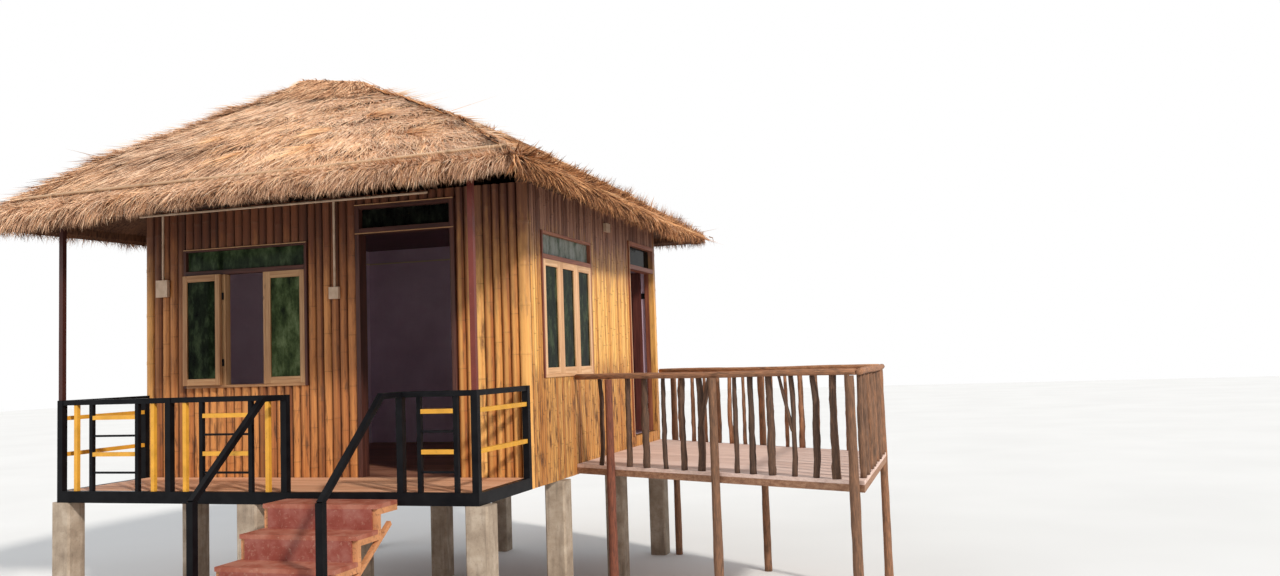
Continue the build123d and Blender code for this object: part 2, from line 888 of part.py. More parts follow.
def make_hip_rafters():
    """Bamboo hip rafters and the ridge pole."""
    order = ("thatch_front", "thatch_right", "thatch_rear", "thatch_left")
    poles = []
    for index, name in enumerate(order):
        corner_a, corner_b, peak_b, peak_a = roof_slopes[name]
        following = order[(index + 1) % 4]
        tilt = min(underside_tilt(name, False), underside_tilt(following, True))
        reach = min(abs(peak_b[axis] - corner_b[axis]) for axis in (0, 1))
        start = hip_point(corner_b, peak_b, eave_lip_share + 2 * rafter_radius / reach, 0)
        end = hip_point(corner_b, peak_b, 0.92, 0)
        poles.append(under_pole(start, end, tilt, rafter_radius))
    run = Vector(*ridge_end_right) - Vector(*ridge_end_left)
    start = Vector(*ridge_end_left) + run * 0.08
    end = Vector(*ridge_end_right) - run * 0.08
    tilt = min(underside_tilt("thatch_front", False), underside_tilt("thatch_rear", False))
    poles.append(under_pole(start, end, tilt, rafter_radius))
    return poles


eave_lip_left = hip_point(roof_front_left, ridge_end_left, eave_lip_share, 0)
eave_lip_right = hip_point(roof_front_right, ridge_end_right, eave_lip_share, 0)
front_peak = Vector(*ridge_end_left)
front_normal = (eave_lip_right - eave_lip_left).cross(front_peak - eave_lip_left).normalized()
front_rise = -front_normal.Y / front_normal.Z
rafter_drop = (rafter_radius + joint_gap) / abs(front_normal.Z)
beam_y = veranda_front + plate_width / 2


def front_underside(x, y):
    """Level of the front slope's underside where it lies over the veranda."""
    run = front_normal.X * (x - eave_lip_left.X) + front_normal.Y * (y - eave_lip_left.Y)
    return eave_lip_left.Z - run / front_normal.Z


def beam_middle(x):
    """A point on the front beam's middle line, low enough for its top to pass under the rafters."""
    level = front_underside(x, beam_y - plate_width / 2) - rafter_drop - joint_gap
    level -= rafter_radius * hypot(1, front_rise)
    return Vector(x, beam_y, level - plate_width / 2 - joint_gap)


def crossing(x, start, end):
    """Y where a plan line through two points passes a given X."""
    return start.Y + (end.Y - start.Y) * (x - start.X) / (end.X - start.X)


def make_front_rafters():
    """Rafters over the veranda, lying on the front beam and under the thatch."""
    rafters = []
    foot_y = veranda_front - 0.6 * eave_front
    for index in range(int(room_width / rafter_spacing)):
        x = left_face + (index + 0.5) * rafter_spacing
        lip = eave_lip_left if x < front_peak.X else eave_lip_right
        head_y = min(wall_front, crossing(x, lip, front_peak)) - 5 * rafter_radius
        if head_y < beam_y + 3 * plate_width:
            continue
        foot = (x, foot_y, front_underside(x, foot_y) - rafter_drop)
        head = (x, head_y, front_underside(x, head_y) - rafter_drop)
        rafters.append(pole(foot, head, rafter_radius))
    return rafters


def make_batten(slope):
    """The long bamboo batten that lies bedded in the front slope near its eave."""
    start = hip_point(roof_front_left, ridge_end_left, batten_share, 1)
    end = hip_point(roof_front_right, ridge_end_right, batten_share, 1)
    lift = batten_radius / abs(front_normal.Z) - batten_bedding
    batten = pole(
        (start.X + eave_left, start.Y, start.Z + lift),
        (end.X - eave_right, end.Y, end.Z + lift),
        batten_radius,
    )
    return Pos(0, 0, joint_gap) * (batten - slope)


def make_roof_beams():
    """The beam over the veranda's front edge and the plates on the side walls."""
    beams = [square_bar(beam_middle(left_face), beam_middle(right_face), plate_width, (0, 1, 0))]
    for x in (left_face, right_face - plate_width):
        beams.append(block(
            (x, x + plate_width),
            (wall_front + joint_gap, wall_rear - eave_rear - plate_width),
            above_floor(wall_height + joint_gap, wall_height + plate_depth),
        ))
    return beams


def make_roof_posts():
    """The two posts that carry the front beam, standing on the veranda's corner rail posts."""
    posts = []
    half = roof_post_size / 2
    y = veranda_front + post_size / 2
    for x in (left_face + post_size / 2, right_face - post_size / 2):
        level = min(beam_middle(x - half).Z, beam_middle(x + half).Z)
        top = level - plate_width / 2 - 2 * joint_gap
        bottom = floor_height + rail_height + joint_gap
        posts.append(block((x - half, x + half), (y - half, y + half), (bottom, top)))
    return posts


def make_roof():
    """Four thatched slopes with a cap over the ridge, a batten on them and the poles that carry them."""
    nodes = {name: [thatch_slope(*corners)] for name, corners in roof_slopes.items()}
    slopes = [shapes[0] for shapes in nodes.values()]
    nodes["ridge_cap"] = [make_ridge_cap(slopes)]
    nodes["thatch_battens"] = [make_batten(nodes["thatch_front"][0])]
    nodes["rafters"] = make_hip_rafters() + make_front_rafters()
    nodes["roof_beams"] = make_roof_beams()
    nodes["roof_posts"] = make_roof_posts()
    return nodes


def cap_ring(end, far_end, side, shift, fullness):
    """Outline of the ridge cap across the ridge, at a shift beyond one end of it, as full as a share says."""
    x = end[0] + side * shift
    line = end[2] + thatch_thickness + min(0, shift) * (end[2] - far_end[2]) / ridge_length
    front_corner = roof_front_left if side < 0 else roof_front_right
    rear_corner = roof_rear_left if side < 0 else roof_rear_right
    end_drop = max(0, shift) * slope_fall(front_corner, end, "X")
    falls = {-1: slope_fall(front_corner, end, "Y"), 1: slope_fall(rear_corner, end, "Y")}
    half = ridge_cap_half * (0.7 + 0.3 * fullness)
    high = ridge_cap_thickness * fullness
    outline = []
    for across, proud in (
        (0, -cap_bedding), (-1, -cap_bedding), (-1, 0.5 * high), (-0.45, high),
        (0, high), (0.45, high), (1, 0.5 * high), (1, -cap_bedding),
    ):
        fall = falls[-1 if across < 0 else 1]
        drop = max(end_drop, fall * abs(across) * half)
        outline.append(Vector(x, end[1] + across * half, line - drop + proud))
    return outline


def make_ridge_cap(slopes):
    """The folded thatch bundle over the ridge, tapered to its ends and bedded on the slopes."""
    rings = [
        cap_ring(ridge_end_left, ridge_end_right, -1, ridge_cap_overhang, ridge_cap_end_share),
        cap_ring(ridge_end_left, ridge_end_right, -1, -ridge_cap_inset, 1),
        cap_ring(ridge_end_right, ridge_end_left, 1, -ridge_cap_inset, 1),
        cap_ring(ridge_end_right, ridge_end_left, 1, ridge_cap_overhang, ridge_cap_end_share),
    ]
    faces = [Face(Wire.make_polygon(rings[0], close=True)), Face(Wire.make_polygon(rings[-1], close=True))]
    for first, last in zip(rings, rings[1:]):
        for index in range(len(first)):
            after = (index + 1) % len(first)
            faces += facets(first[index], last[index], last[after], first[after])
    cap = Solid(Shell(faces))
    for slope in slopes:
        cap = cap - slope
    return Pos(0, 0, joint_gap) * cap


def slope_fall(corner, peak, axis):
    """Fall of a hip's top per millimetre along X or Y, next to the ridge."""
    shoulder = hip_point(corner, peak, shoulder_share, 1)
    top = hip_point(corner, peak, 1, 1)
    run = top - shoulder
    return run.Z / abs(run.X if axis == "X" else run.Y)


# Side deck


def deck_point(along_x, y):
    """A plan point of the deck from distances off the right wall's outer face and its front end."""
    return right_face + along_x, wall_front + y


deck_front_inner = deck_point(joint_gap, deck_near)
deck_front_outer = deck_point(deck_reach, deck_near - deck_near_skew)
deck_rear_outer = deck_point(deck_reach, deck_far - deck_far_skew)
deck_rear_inner = deck_point(joint_gap, deck_far)


def along(start, end, distance, inset):
    """A plan point a distance along an edge, drawn in to its left by an inset."""
    run = Vector(end[0] - start[0], end[1] - start[1], 0).normalized()
    x = start[0] + run.X * distance - run.Y * inset
    y = start[1] + run.Y * distance + run.X * inset
    return x, y


def edge_length(start, end):
    """Length of a deck edge in plan."""
    return hypot(end[0] - start[0], end[1] - start[1])


near_edge = (deck_front_inner, deck_front_outer)
end_edge = (deck_front_outer, deck_rear_outer)
far_edge = (deck_rear_outer, deck_rear_inner)
deck_beam_low = floor_height - deck_board - deck_beam_depth
log_top = floor_height + deck_rail_height - deck_rail_radius - joint_gap
log_taper = (log_foot_share - log_top_share) * deck_log_radius / log_top
log_outset = deck_log_radius * log_foot_share - log_taper * deck_beam_low + joint_gap
stick_inset = stick_radius


def deck_posts(edge, shares):
    """Plan places of the logs that stand against the outside of one of the deck's edges."""
    return [along(*edge, share * edge_length(*edge), -log_outset) for share in shares]


def make_deck_posts():
    """The logs that run from the ground past the deck's edges up to its rails, one flat to the edge."""
    logs = []
    for (start, end), shares in ((near_edge, near_posts), (far_edge, far_posts)):
        turn = degrees(atan2(end[1] - start[1], end[0] - start[0])) + 90 + 180 / log_sides
        for x, y in deck_posts((start, end), shares):
            sections = []
            for level, size in ((0, log_foot_share), (log_top, log_top_share)):
                outline = RegularPolygon(deck_log_radius * size, log_sides, major_radius=False, rotation=turn)
                sections.append(Pos(x, y, level) * outline)
            logs.append(loft(sections, ruled=True))
    return logs


def make_sticks():
    """Crooked sticks between the deck's boards and its rail, two of them forked."""
    height = deck_rail_height - deck_rail_radius - 2 * joint_gap
    sticks = []
    for number, share in enumerate(near_sticks):
        x, y = along(*near_edge, share * edge_length(*near_edge), stick_inset)
        foot = (x, y, floor_height + joint_gap)
        radius = stick_radius * (0.9 + 0.22 * (number % 3))
        if share in near_forks:
            side = 1 if share == near_forks[0] else -1
            sticks.append(forked_stick(foot, height, radius, (side * fork_reach, -side * fork_lean), 0.45))
        else:
            bow = stick_bow * (1 - 0.36 * (number % 4))
            sticks.append(crooked_stick(foot, height, radius, (0, 0), bow, number * 1.9))
    logs = deck_posts(near_edge, near_posts) + deck_posts(far_edge, far_posts)
    for edge in (end_edge, far_edge):
        length = edge_length(*edge)
        count = int(length / stick_spacing)
        for number in range(1, count):
            distance = number * length / count
            x, y = along(*edge, distance, stick_inset)
            clear = min(hypot(x - px, y - py) for px, py in logs)
            if clear > deck_log_radius + 2.2 * stick_radius:
                foot = (x, y, floor_height + joint_gap)
                radius = stick_radius * (0.85 + 0.2 * (number % 3))
                bow = stick_bow * (0.7 - 0.28 * (number % 4))
                sticks.append(crooked_stick(foot, height, radius, (0, 0), bow, number * 2.3))
    return sticks


def make_deck_rails():
    """The three rail poles over the deck's edges, cut short where one would meet another or the wall."""
    level = floor_height + deck_rail_height
    rails = []
    for start, end, rise in (
        (deck_front_inner, deck_front_outer, deck_near_skew),
        (deck_rear_inner, deck_rear_outer, deck_far_skew),
    ):
        length = edge_length(start, end)
        at_wall = (deck_rail_radius * rise / length + frame_proud + joint_gap) * length / deck_reach
        at_rail = (deck_rail_radius * (1 + rise / length) + joint_gap) * length / deck_reach
        x0, y0 = along(start, end, at_wall, 0)
        x1, y1 = along(start, end, length - at_rail, 0)
        rails.append(pole((x0, y0, level), (x1, y1, level), deck_rail_radius))
    rails.append(pole((*deck_front_outer, level), (*deck_rear_outer, level), deck_rail_radius))
    return rails


def near_line(x):
    """Distance of the deck's near edge behind the wall's front end."""
    return deck_near - deck_near_skew * x / deck_reach


def far_line(x):
    """Distance of the deck's far edge behind the wall's front end."""
    return deck_far - deck_far_skew * x / deck_reach


def deck_beam(x0, x1, low_line, high_line):
    """A beam under the deck's boards between two plan lines, each a line of the deck and an offset."""
    points = []
    for x, (line, offset) in ((x0, low_line), (x1, low_line), (x1, high_line), (x0, high_line)):
        points.append(deck_point(x, line(x) + offset))
    return prism(points, deck_beam_low, floor_height - deck_board - joint_gap)


def make_deck_beams():
    """Beams under both skew edges, and three across between them."""
    wide = 1.15 * deck_beam_width
    beams = [
        deck_beam(joint_gap, deck_reach, (near_line, 0), (near_line, wide)),
        deck_beam(joint_gap, deck_reach, (far_line, -wide), (far_line, 0)),
    ]
    for x in (joint_gap, (deck_reach - deck_beam_width) / 2, deck_reach - deck_beam_width):
        low_line = (near_line, wide + joint_gap)
        high_line = (far_line, -wide - joint_gap)
        beams.append(deck_beam(x, x + deck_beam_width, low_line, high_line))
    return beams


def make_deck():
    """Boards, the beams under them, logs, rails and sticks of the skew side deck."""
    outline = (deck_front_inner, deck_front_outer, deck_rear_outer, deck_rear_inner)
    return {
        "deck_floor": [prism(outline, floor_height - deck_board, floor_height)],
        "deck_beams": make_deck_beams(),
        "deck_posts": make_deck_posts(),
        "deck_rails": make_deck_rails(),
        "deck_sticks": make_sticks(),
    }


# Wiring on the walls


def make_wiring():
    """A conduit along the front wall with two drops, and the boxes that it feeds."""
    y = wall_front - conduit_radius - joint_gap
    level = floor_height + conduit_height
    ends = (left_face - conduit_overrun, y, level), (right_face - conduit_end, y, level)
    pipes = [pole(*ends, conduit_radius)]
    boxes = [block(
        (right_face + joint_gap, right_face + box_depth),
        (wall_front + side_box_start, wall_front + side_box_start + side_box_length),
        above_floor(*side_box_levels),
    )]
    for distance, half, levels in (
        (left_drop, left_box_half, left_box_levels),
        (right_drop, right_box_half, right_box_levels),
    ):
        x = right_face - distance
        box_top = floor_height + levels[1]
        pipes.append(pole((x, y, box_top + joint_gap), (x, y, level), conduit_radius))
        depth = (wall_front - box_depth, wall_front - joint_gap)
        boxes.append(block((x - half, x + half), depth, above_floor(*levels)))
    return {"wiring": [fused(pipes)] + boxes}


def all_nodes():
    """Every named piece of the house with its solids."""
    nodes = {}
    for make in (
        make_pillars, make_floors, make_veranda, make_front_wall, make_right_wall, make_plain_walls,
        make_corner_posts, make_lining, make_windows, make_door_frames, make_side_door, make_roof,
        make_railings, make_stair, make_handrails, make_deck, make_wiring,
    ):
        nodes.update(make())
    return nodes


os.makedirs("parts", exist_ok=True)
for node_name, shapes in all_nodes().items():
    solids = [solid for shape in shapes for solid in shape.solids()]
    export_step(Compound(solids), "parts/" + node_name + ".step")
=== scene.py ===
import math

import bpy
import numpy as np
from mathutils import Matrix, Vector


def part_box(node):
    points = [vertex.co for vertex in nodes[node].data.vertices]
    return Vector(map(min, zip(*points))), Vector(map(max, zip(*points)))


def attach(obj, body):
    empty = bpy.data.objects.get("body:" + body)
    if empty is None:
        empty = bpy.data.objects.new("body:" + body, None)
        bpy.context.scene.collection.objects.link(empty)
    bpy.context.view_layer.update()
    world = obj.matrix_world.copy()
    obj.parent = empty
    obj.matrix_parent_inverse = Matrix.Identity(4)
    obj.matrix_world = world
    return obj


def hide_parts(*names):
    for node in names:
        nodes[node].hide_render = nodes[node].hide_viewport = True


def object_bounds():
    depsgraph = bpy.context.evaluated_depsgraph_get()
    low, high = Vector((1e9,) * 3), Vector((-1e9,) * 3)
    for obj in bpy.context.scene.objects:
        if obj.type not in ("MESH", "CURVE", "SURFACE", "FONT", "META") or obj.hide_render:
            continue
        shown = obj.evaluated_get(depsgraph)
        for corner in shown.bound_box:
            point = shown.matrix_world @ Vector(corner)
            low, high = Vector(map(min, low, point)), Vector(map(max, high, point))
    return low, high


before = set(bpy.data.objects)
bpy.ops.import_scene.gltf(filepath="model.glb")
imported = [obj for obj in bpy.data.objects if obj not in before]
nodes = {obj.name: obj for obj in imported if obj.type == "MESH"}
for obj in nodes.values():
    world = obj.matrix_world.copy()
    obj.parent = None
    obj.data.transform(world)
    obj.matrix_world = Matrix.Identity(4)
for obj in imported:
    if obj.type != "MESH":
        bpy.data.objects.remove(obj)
cad_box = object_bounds()

# Camera

camera_place = Vector((3.2805, -6.8115, 2.122))
camera_right = Vector((0.95563334, 0.29265951, -0.03339643))
camera_up = Vector((0.05151394, -0.05441782, 0.99718856))
camera_forward = Vector((-0.29001935, 0.95466702, 0.06707953))
camera_lens = 29.756

# Levels and plan lines of the house, in metres

floor_level = 1.235
skirt_level = 1.145
wall_top = 3.555
right_face = 0.0275
left_face = -3.6325
wall_front = 0.8555
wall_rear = 4.5155
room_side = 3.66
cladding_depth = 0.088
wall_depth = 0.1
frame_proud = 0.008
joint_gap = 0.0003
plank_depth = 0.03
plank_gap = 0.001
room_plank_count = 24
veranda_plank_count = 7
cornice_levels = (3.36, 3.376)
cornice_depth = 0.012
board_chamfer = 0.002

# Bamboo cladding: pitch, bulge and steps of arc of whole and of split culms

round_culms = (0.082, 0.03, 8)
porch_culms = (0.082, 0.03, 10)
split_culms = (0.045, 0.012, 5)
culm_node_spacing = 0.36
culm_node_swell = 0.003
corner_radius = 0.038

# Windows and doorways: distance along the wall, width, levels above the floor

sill = 0.762
transom = 1.737
window_head = 1.97
front_window = (1.999, 1.24)
side_window = (0.307, 1.19)
front_door = (0.624, 0.906)
front_door_bar = 1.997
front_door_head = 2.243
side_door = (2.657, 0.915)
side_door_sill = 0.105
side_door_bar = 1.822
side_door_head = 2.109
frame_width = 0.04
window_bar = 0.024
transom_height = 0.04
frame_depth = 0.07
sash_thickness = 0.032
sash_stile = 0.046
sash_rail = 0.056
open_sash_gap = 0.014
door_bar_depth = 0.046
batten_width = 0.008
side_batten_width = 0.012

# Roof: underside corners, ridge ends and thickness

eave_corners = {
    "front_left": (-3.9925, -0.3445, 3.365),
    "front_right": (0.4775, -0.3445, 3.475),
    "rear_right": (0.4775, 4.8155, 3.465),
    "rear_left": (-3.9925, 4.8155, 3.45),
}
ridge_left = (-2.6725, 1.8555, 4.645)
ridge_right = (-1.9525, 1.8555, 4.545)
eave_thickness = 0.105
thatch_thickness = 0.19
shoulder_share = 0.3
shoulder_bulge = 0.06
mat_sink = 0.01
course_count = 7
course_step = 0.025
course_butt = 0.006
eave_lip = 0.02
fringe_drop = 0.07
cap_half = 0.26
cap_thickness = 0.07
cap_overhang = 0.06
cap_inset = 0.07
cap_end_share = 0.3
cap_bed_half = 0.235
cap_bed_depth = 0.16
worn_depth = 0.055
worn_more = 0.038
worn_reach = 1.8
straw_limit = 0.17
batten_shares = (0.026, 0.004)
batten_lifts = (0.036, 0.054)
batten_radius = 0.012

# Straws of the front slope: field, eave, hips, strays, and those bent over the ridge and laid along it

straw_counts = (21000, 3300, 2000, 1100)
eave_length = 4.47
ridge_straws = 5000
ridge_long_straws = 2200

# Side deck

deck_front_inner = (0.0278, 1.8555)
deck_front_outer = (2.5775, 0.6555)
deck_rear_outer = (2.5775, 2.7555)
deck_rear_inner = (0.0278, 4.4955)
deck_board = 0.028
deck_board_count = 16
deck_board_gap = 0.0015
deck_rail_level = 1.985
deck_rail_radius = 0.024
log_radius = 0.037
log_outset = 0.0391
stick_radius = 0.021
near_posts = (0.156, 0.549, 0.98)
far_posts = (0.02, 0.5, 0.935)
near_sticks = (0.098, 0.214, 0.281, 0.354, 0.424, 0.485, 0.608, 0.661, 0.722, 0.792, 0.857, 0.918)
near_forks = (0.485, 0.792)
stick_spacing = 0.19

random = np.random.default_rng(20)
uniform = random.uniform


# Mesh code

def unit(rows):
    return rows / np.linalg.norm(rows, axis=-1, keepdims=True)


def grid(*values):
    """Points from coordinates that are given by row, by column or one by one."""
    return np.stack(np.broadcast_arrays(*values), axis=-1).reshape(-1, 3)


def outward(points, faces):
    """The faces of a closed shape, turned over if they point into it."""
    corners = np.array([(face[0], face[i], face[i + 1]) for face in faces for i in range(1, len(face) - 1)])
    a, b, c = (points[corners[:, i]] - points.mean(axis=0) for i in range(3))
    volume = np.einsum("ij,ij->", a, np.cross(b, c))
    return faces if volume > 0 else [tuple(reversed(face)) for face in faces]


def loft(count, across):
    """Faces of a closed skin over a count of rings with so many points across, and of its two ends."""
    faces = [tuple(range(across))]
    for a in range(0, (count - 1) * across, across):
        b = a + across
        for j in range(across):
            k = (j + 1) % across
            faces.append((a + k, a + j, b + j, b + k))
    return faces + [tuple((count - 1) * across + j for j in reversed(range(across)))]


class Shapes:
    """Closed shapes gathered into one mesh, each with its own tone and its own place in the grain."""

    def __init__(self):
        self.points = []
        self.faces = []
        self.values = {"tone": [], "ring": [], "stain": []}
        self.grain = []
        self.count = 0

    def keep(self, points, tone, ring, stain, grain):
        total = len(points)
        self.points.append(points)
        for label, value in (("tone", tone), ("ring", ring), ("stain", stain)):
            self.values[label].append(np.broadcast_to(np.asarray(value, float), (total,)))
        self.grain.append(grain)
        self.count += total

    def add(self, points, faces, tone, ring=0.0, grain=None, stain=0.0):
        points = np.asarray(points, float).reshape(-1, 3)
        self.faces.extend([tuple(self.count + i for i in face) for face in outward(points, faces)])
        self.keep(points, tone, ring, stain, points if grain is None else np.asarray(grain, float))

    def add_straws(self, lines, width, height, normals, tones, stain=0.0):
        """Straws of three sides that taper to a point, each along two or three points, with painted shade at
        the root.
        """
        rows = len(lines) - 1
        run = unit(lines[1] - lines[0])
        side = unit(np.cross(normals, run))
        rise = np.cross(run, side) * height[:, None]
        half = side * (width / 2)[:, None]
        corners = []
        for row in range(rows):
            size = 1 - 0.2 * row
            corners += [lines[row] - half * size, lines[row] + half * size, lines[row] + rise * size]
        points = np.stack(corners + [lines[-1]], axis=1)
        total, each = points.shape[:2]
        faces = [(0, 1, 2)]
        for a in range(0, 3 * rows, 3):
            for i, k in ((0, 1), (1, 2), (2, 0)):
                end = (a + 3 + i, a + 3 + k) if a < 3 * rows - 3 else (a + 3,)
                faces.append((a + k, a + i, *end))
        base = self.count + each * np.arange(total)
        for face in outward(points[0], faces):
            self.faces.extend(map(tuple, (base[:, None] + np.array(face)).tolist()))
        reach = np.linalg.norm(lines[-1] - lines[0], axis=1)
        steps = np.append(np.repeat(np.arange(rows) / rows, 3), 1)
        offset = uniform(0, 40, total)
        grain = grid(np.arange(each) % 3 * 0.003, offset[:, None], np.outer(reach, steps))
        stain = np.repeat(np.broadcast_to(stain, (total,)), each)
        # Painted shade at the root and a painted highlight at the tip.
        light = np.tile(np.concatenate([np.full(3, -0.22), np.zeros(3 * rows - 3), [0.12]]), total)
        self.keep(points.reshape(-1, 3), np.repeat(tones, each) + light, 0.0, stain, grain)

    def build(self, name, material, replaced=(), body="house", smooth=False):
        """The mesh object, with its attributes, riding on its body."""
        mesh = bpy.data.meshes.new(name)
        mesh.from_pydata(np.concatenate(self.points).tolist(), [], self.faces)
        for label, values in self.values.items():
            attribute = mesh.attributes.new(label, "FLOAT", "POINT")
            attribute.data.foreach_set("value", np.concatenate(values).astype(np.float32))
        attribute = mesh.attributes.new("grain", "FLOAT_VECTOR", "POINT")
        attribute.data.foreach_set("vector", np.concatenate(self.grain).astype(np.float32).ravel())
        mesh.update()
        if smooth:
            mesh.shade_smooth()
        mesh.materials.append(material)
        piece = bpy.data.objects.new(name, mesh)
        bpy.context.scene.collection.objects.link(piece)
        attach(piece, body)
        if replaced:
            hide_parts(*replaced)
        return piece


def chamfered_box():
    """Corner signs and faces of a box whose every edge is cut off, with three points at each corner."""
    signs = [(x, y, z) for x in (0, 1) for y in (0, 1) for z in (0, 1)]
    index = {(corner, axis): 3 * n + axis for n, corner in enumerate(signs) for axis in range(3)}
    faces = []
    for axis in range(3):
        b, c = (axis + 1) % 3, (axis + 2) % 3

        def corner(sa, sb, sc):
            found = [0, 0, 0]
            found[axis], found[b], found[c] = sa, sb, sc
            return tuple(found)

        for side in (0, 1):
            loop = [corner(side, *sides) for sides in ((0, 0), (1, 0), (1, 1), (0, 1))]
            faces.append([index[point, axis] for point in loop])
        for sides in ((0, 0), (0, 1), (1, 0), (1, 1)):
            low, high = corner(0, *sides), corner(1, *sides)
            faces.append([index[low, b], index[high, b], index[high, c], index[low, c]])
    faces += [[index[point, axis] for axis in range(3)] for point in signs]
    return np.repeat(signs, 3, axis=0), faces


box_signs, box_faces = chamfered_box()


def board(shapes, low, high, along, place=None, tone=()):
    """A board with eased edges. Its grain runs along one axis. place turns its points into the house's."""
    low, high = np.asarray(low, float), np.asarray(high, float)
    inset = min(board_chamfer, float((high - low).min()) * 0.45) * (1 - np.tile(np.eye(3), (8, 1)))
    points = np.where(box_signs, high - inset, low + inset)
    grain = np.empty_like(points)
    grain[:, 0] = points[:, (along + 1) % 3] + uniform(0, 9)
    grain[:, 1] = points[:, (along + 2) % 3] + uniform(0, 9)
    grain[:, 2] = points[:, along]
    if place is not None:
        points = place(points)
    shapes.add(points, box_faces, tone[0] if tone else uniform(0, 1), grain=grain)


def tube(shapes, line, radii, sides, tone, rough=0.0, ring=None):
    """A closed pole along a line of points, with a radius at each and a knobbly skin."""
    line = np.asarray(line, float)
    radii = np.broadcast_to(np.asarray(radii, float), (len(line),))
    run = unit(np.gradient(line, axis=0))
    guide = np.array([0.0, 0.0, 1.0]) if abs(run[0][2]) < 0.8 else np.array([1.0, 0.0, 0.0])
    across = unit(np.cross(run, guide))
    over = np.cross(run, across)
    turn = np.arange(sides) * 2 * math.pi / sides
    phase = uniform(0, 6, 4)
    reach = np.concatenate([[0], np.cumsum(np.linalg.norm(np.diff(line, axis=0), axis=1))])
    points = []
    for i in range(len(line)):
        wave = (
            np.sin(2 * turn + phase[0] + 9 * reach[i]) + np.sin(3 * turn + phase[1] - 23 * reach[i])
            + np.sin(5 * turn + phase[2] + 41 * reach[i])
        )
        r = radii[i] * (1 + rough * wave / 3 + rough * 0.5 * uniform(-1, 1, sides))
        points.append(line[i] + np.outer(r * np.cos(turn), across[i]) + np.outer(r * np.sin(turn), over[i]))
    radius = radii.mean()
    grain = grid(np.cos(turn) * radius + uniform(0, 9), np.sin(turn) * radius, reach[:, None])
    rings = 0.0 if ring is None else np.repeat(ring, sides)
    shapes.add(points, loft(len(line), sides), tone, ring=rings, grain=grain)


def node_rows(low, high, spacing):
    """Rows up a culm with the swell and the ring value of each: a groove and a ridge at its uneven nodes."""
    rows = [(low, 0, 0)]
    level = low + uniform(0.3, 1.0) * spacing
    while level < high - 0.05:
        rows += [(level - 0.022, 0, 0), (level - 0.006, 0.4, 0.2), (level, 1, 1), (level + 0.004, 0.5, 0.6),
                 (level + 0.014, 0.7, 0), (level + 0.03, 0, 0)]
        level += spacing * uniform(0.75, 1.2)
    rows.append((high, 0, 0))
    return np.array(rows).T[:, :, None]


def add_culm(shapes, points, grain, mark, stain, tone):
    """A culm from its rings of points, with a ring value for each and a share of painted shade for each point
    across.
    """
    rows, across = len(mark), len(stain)
    groove_shades = np.tile(stain, rows)
    shapes.add(points, loft(rows, across), tone, ring=np.repeat(mark, across), grain=grain, stain=groove_shades)


def culm_wall(shapes, place, start, end, low, high, pitch, bulge, arc_steps):
    """A stretch of wall in upright culms of uneven width, from one distance along the wall to another."""
    count = max(1, round((end - start) / pitch))
    widths = uniform(0.84, 1.16, count)
    edges = start + (end - start) * np.concatenate([[0], np.cumsum(widths)]) / widths.sum()
    turn = np.linspace(0, math.pi, arc_steps + 1)
    crest = np.append(np.sin(turn), (0, 0))
    depth = np.append(bulge * (1 - np.sin(turn)), (cladding_depth, cladding_depth))
    for left, right in zip(edges, edges[1:]):
        level, swell, mark = node_rows(low, high, culm_node_spacing)
        seed = uniform(0, 30)
        wide = uniform(-0.002, 0.002)
        across = np.append(left + (right - left) * (0.5 - 0.5 * np.cos(turn)), (right, left))
        points = place(grid(across, depth - (culm_node_swell * swell + wide) * crest, level))
        grain = grid(across - left, depth, level) + seed
        # Painted shade grows from the crest of each culm towards its edges.
        add_culm(shapes, points, grain, mark, 1 - crest, uniform(0, 1))


def wall_place(x, y, along, inward):
    """From distance along a wall, depth behind its outer face and level to the house's frame."""
    turn = np.array([(*along, 0), (*inward, 0), (0, 0, 1)], float)
    return lambda points: np.asarray(points, float) @ turn + (x, y, 0)


front_place = wall_place(right_face, wall_front, (-1, 0), (0, 1))
side_place = wall_place(right_face, wall_front, (0, 1), (-1, 0))
rear_place = wall_place(right_face, wall_rear, (-1, 0), (0, -1))
left_place = wall_place(left_face, wall_rear, (0, -1), (1, 0))


# Materials

def feed(tree, node, inputs):
    """Inputs of a node, by name or number, linked to an output or set. A tuple is a colour."""
    for label, value in inputs.items():
        if isinstance(value, bpy.types.NodeSocket):
            tree.links.new(value, node.inputs[label])
        else:
            node.inputs[label].default_value = (*value, 1) if isinstance(value, tuple) else value
    return node


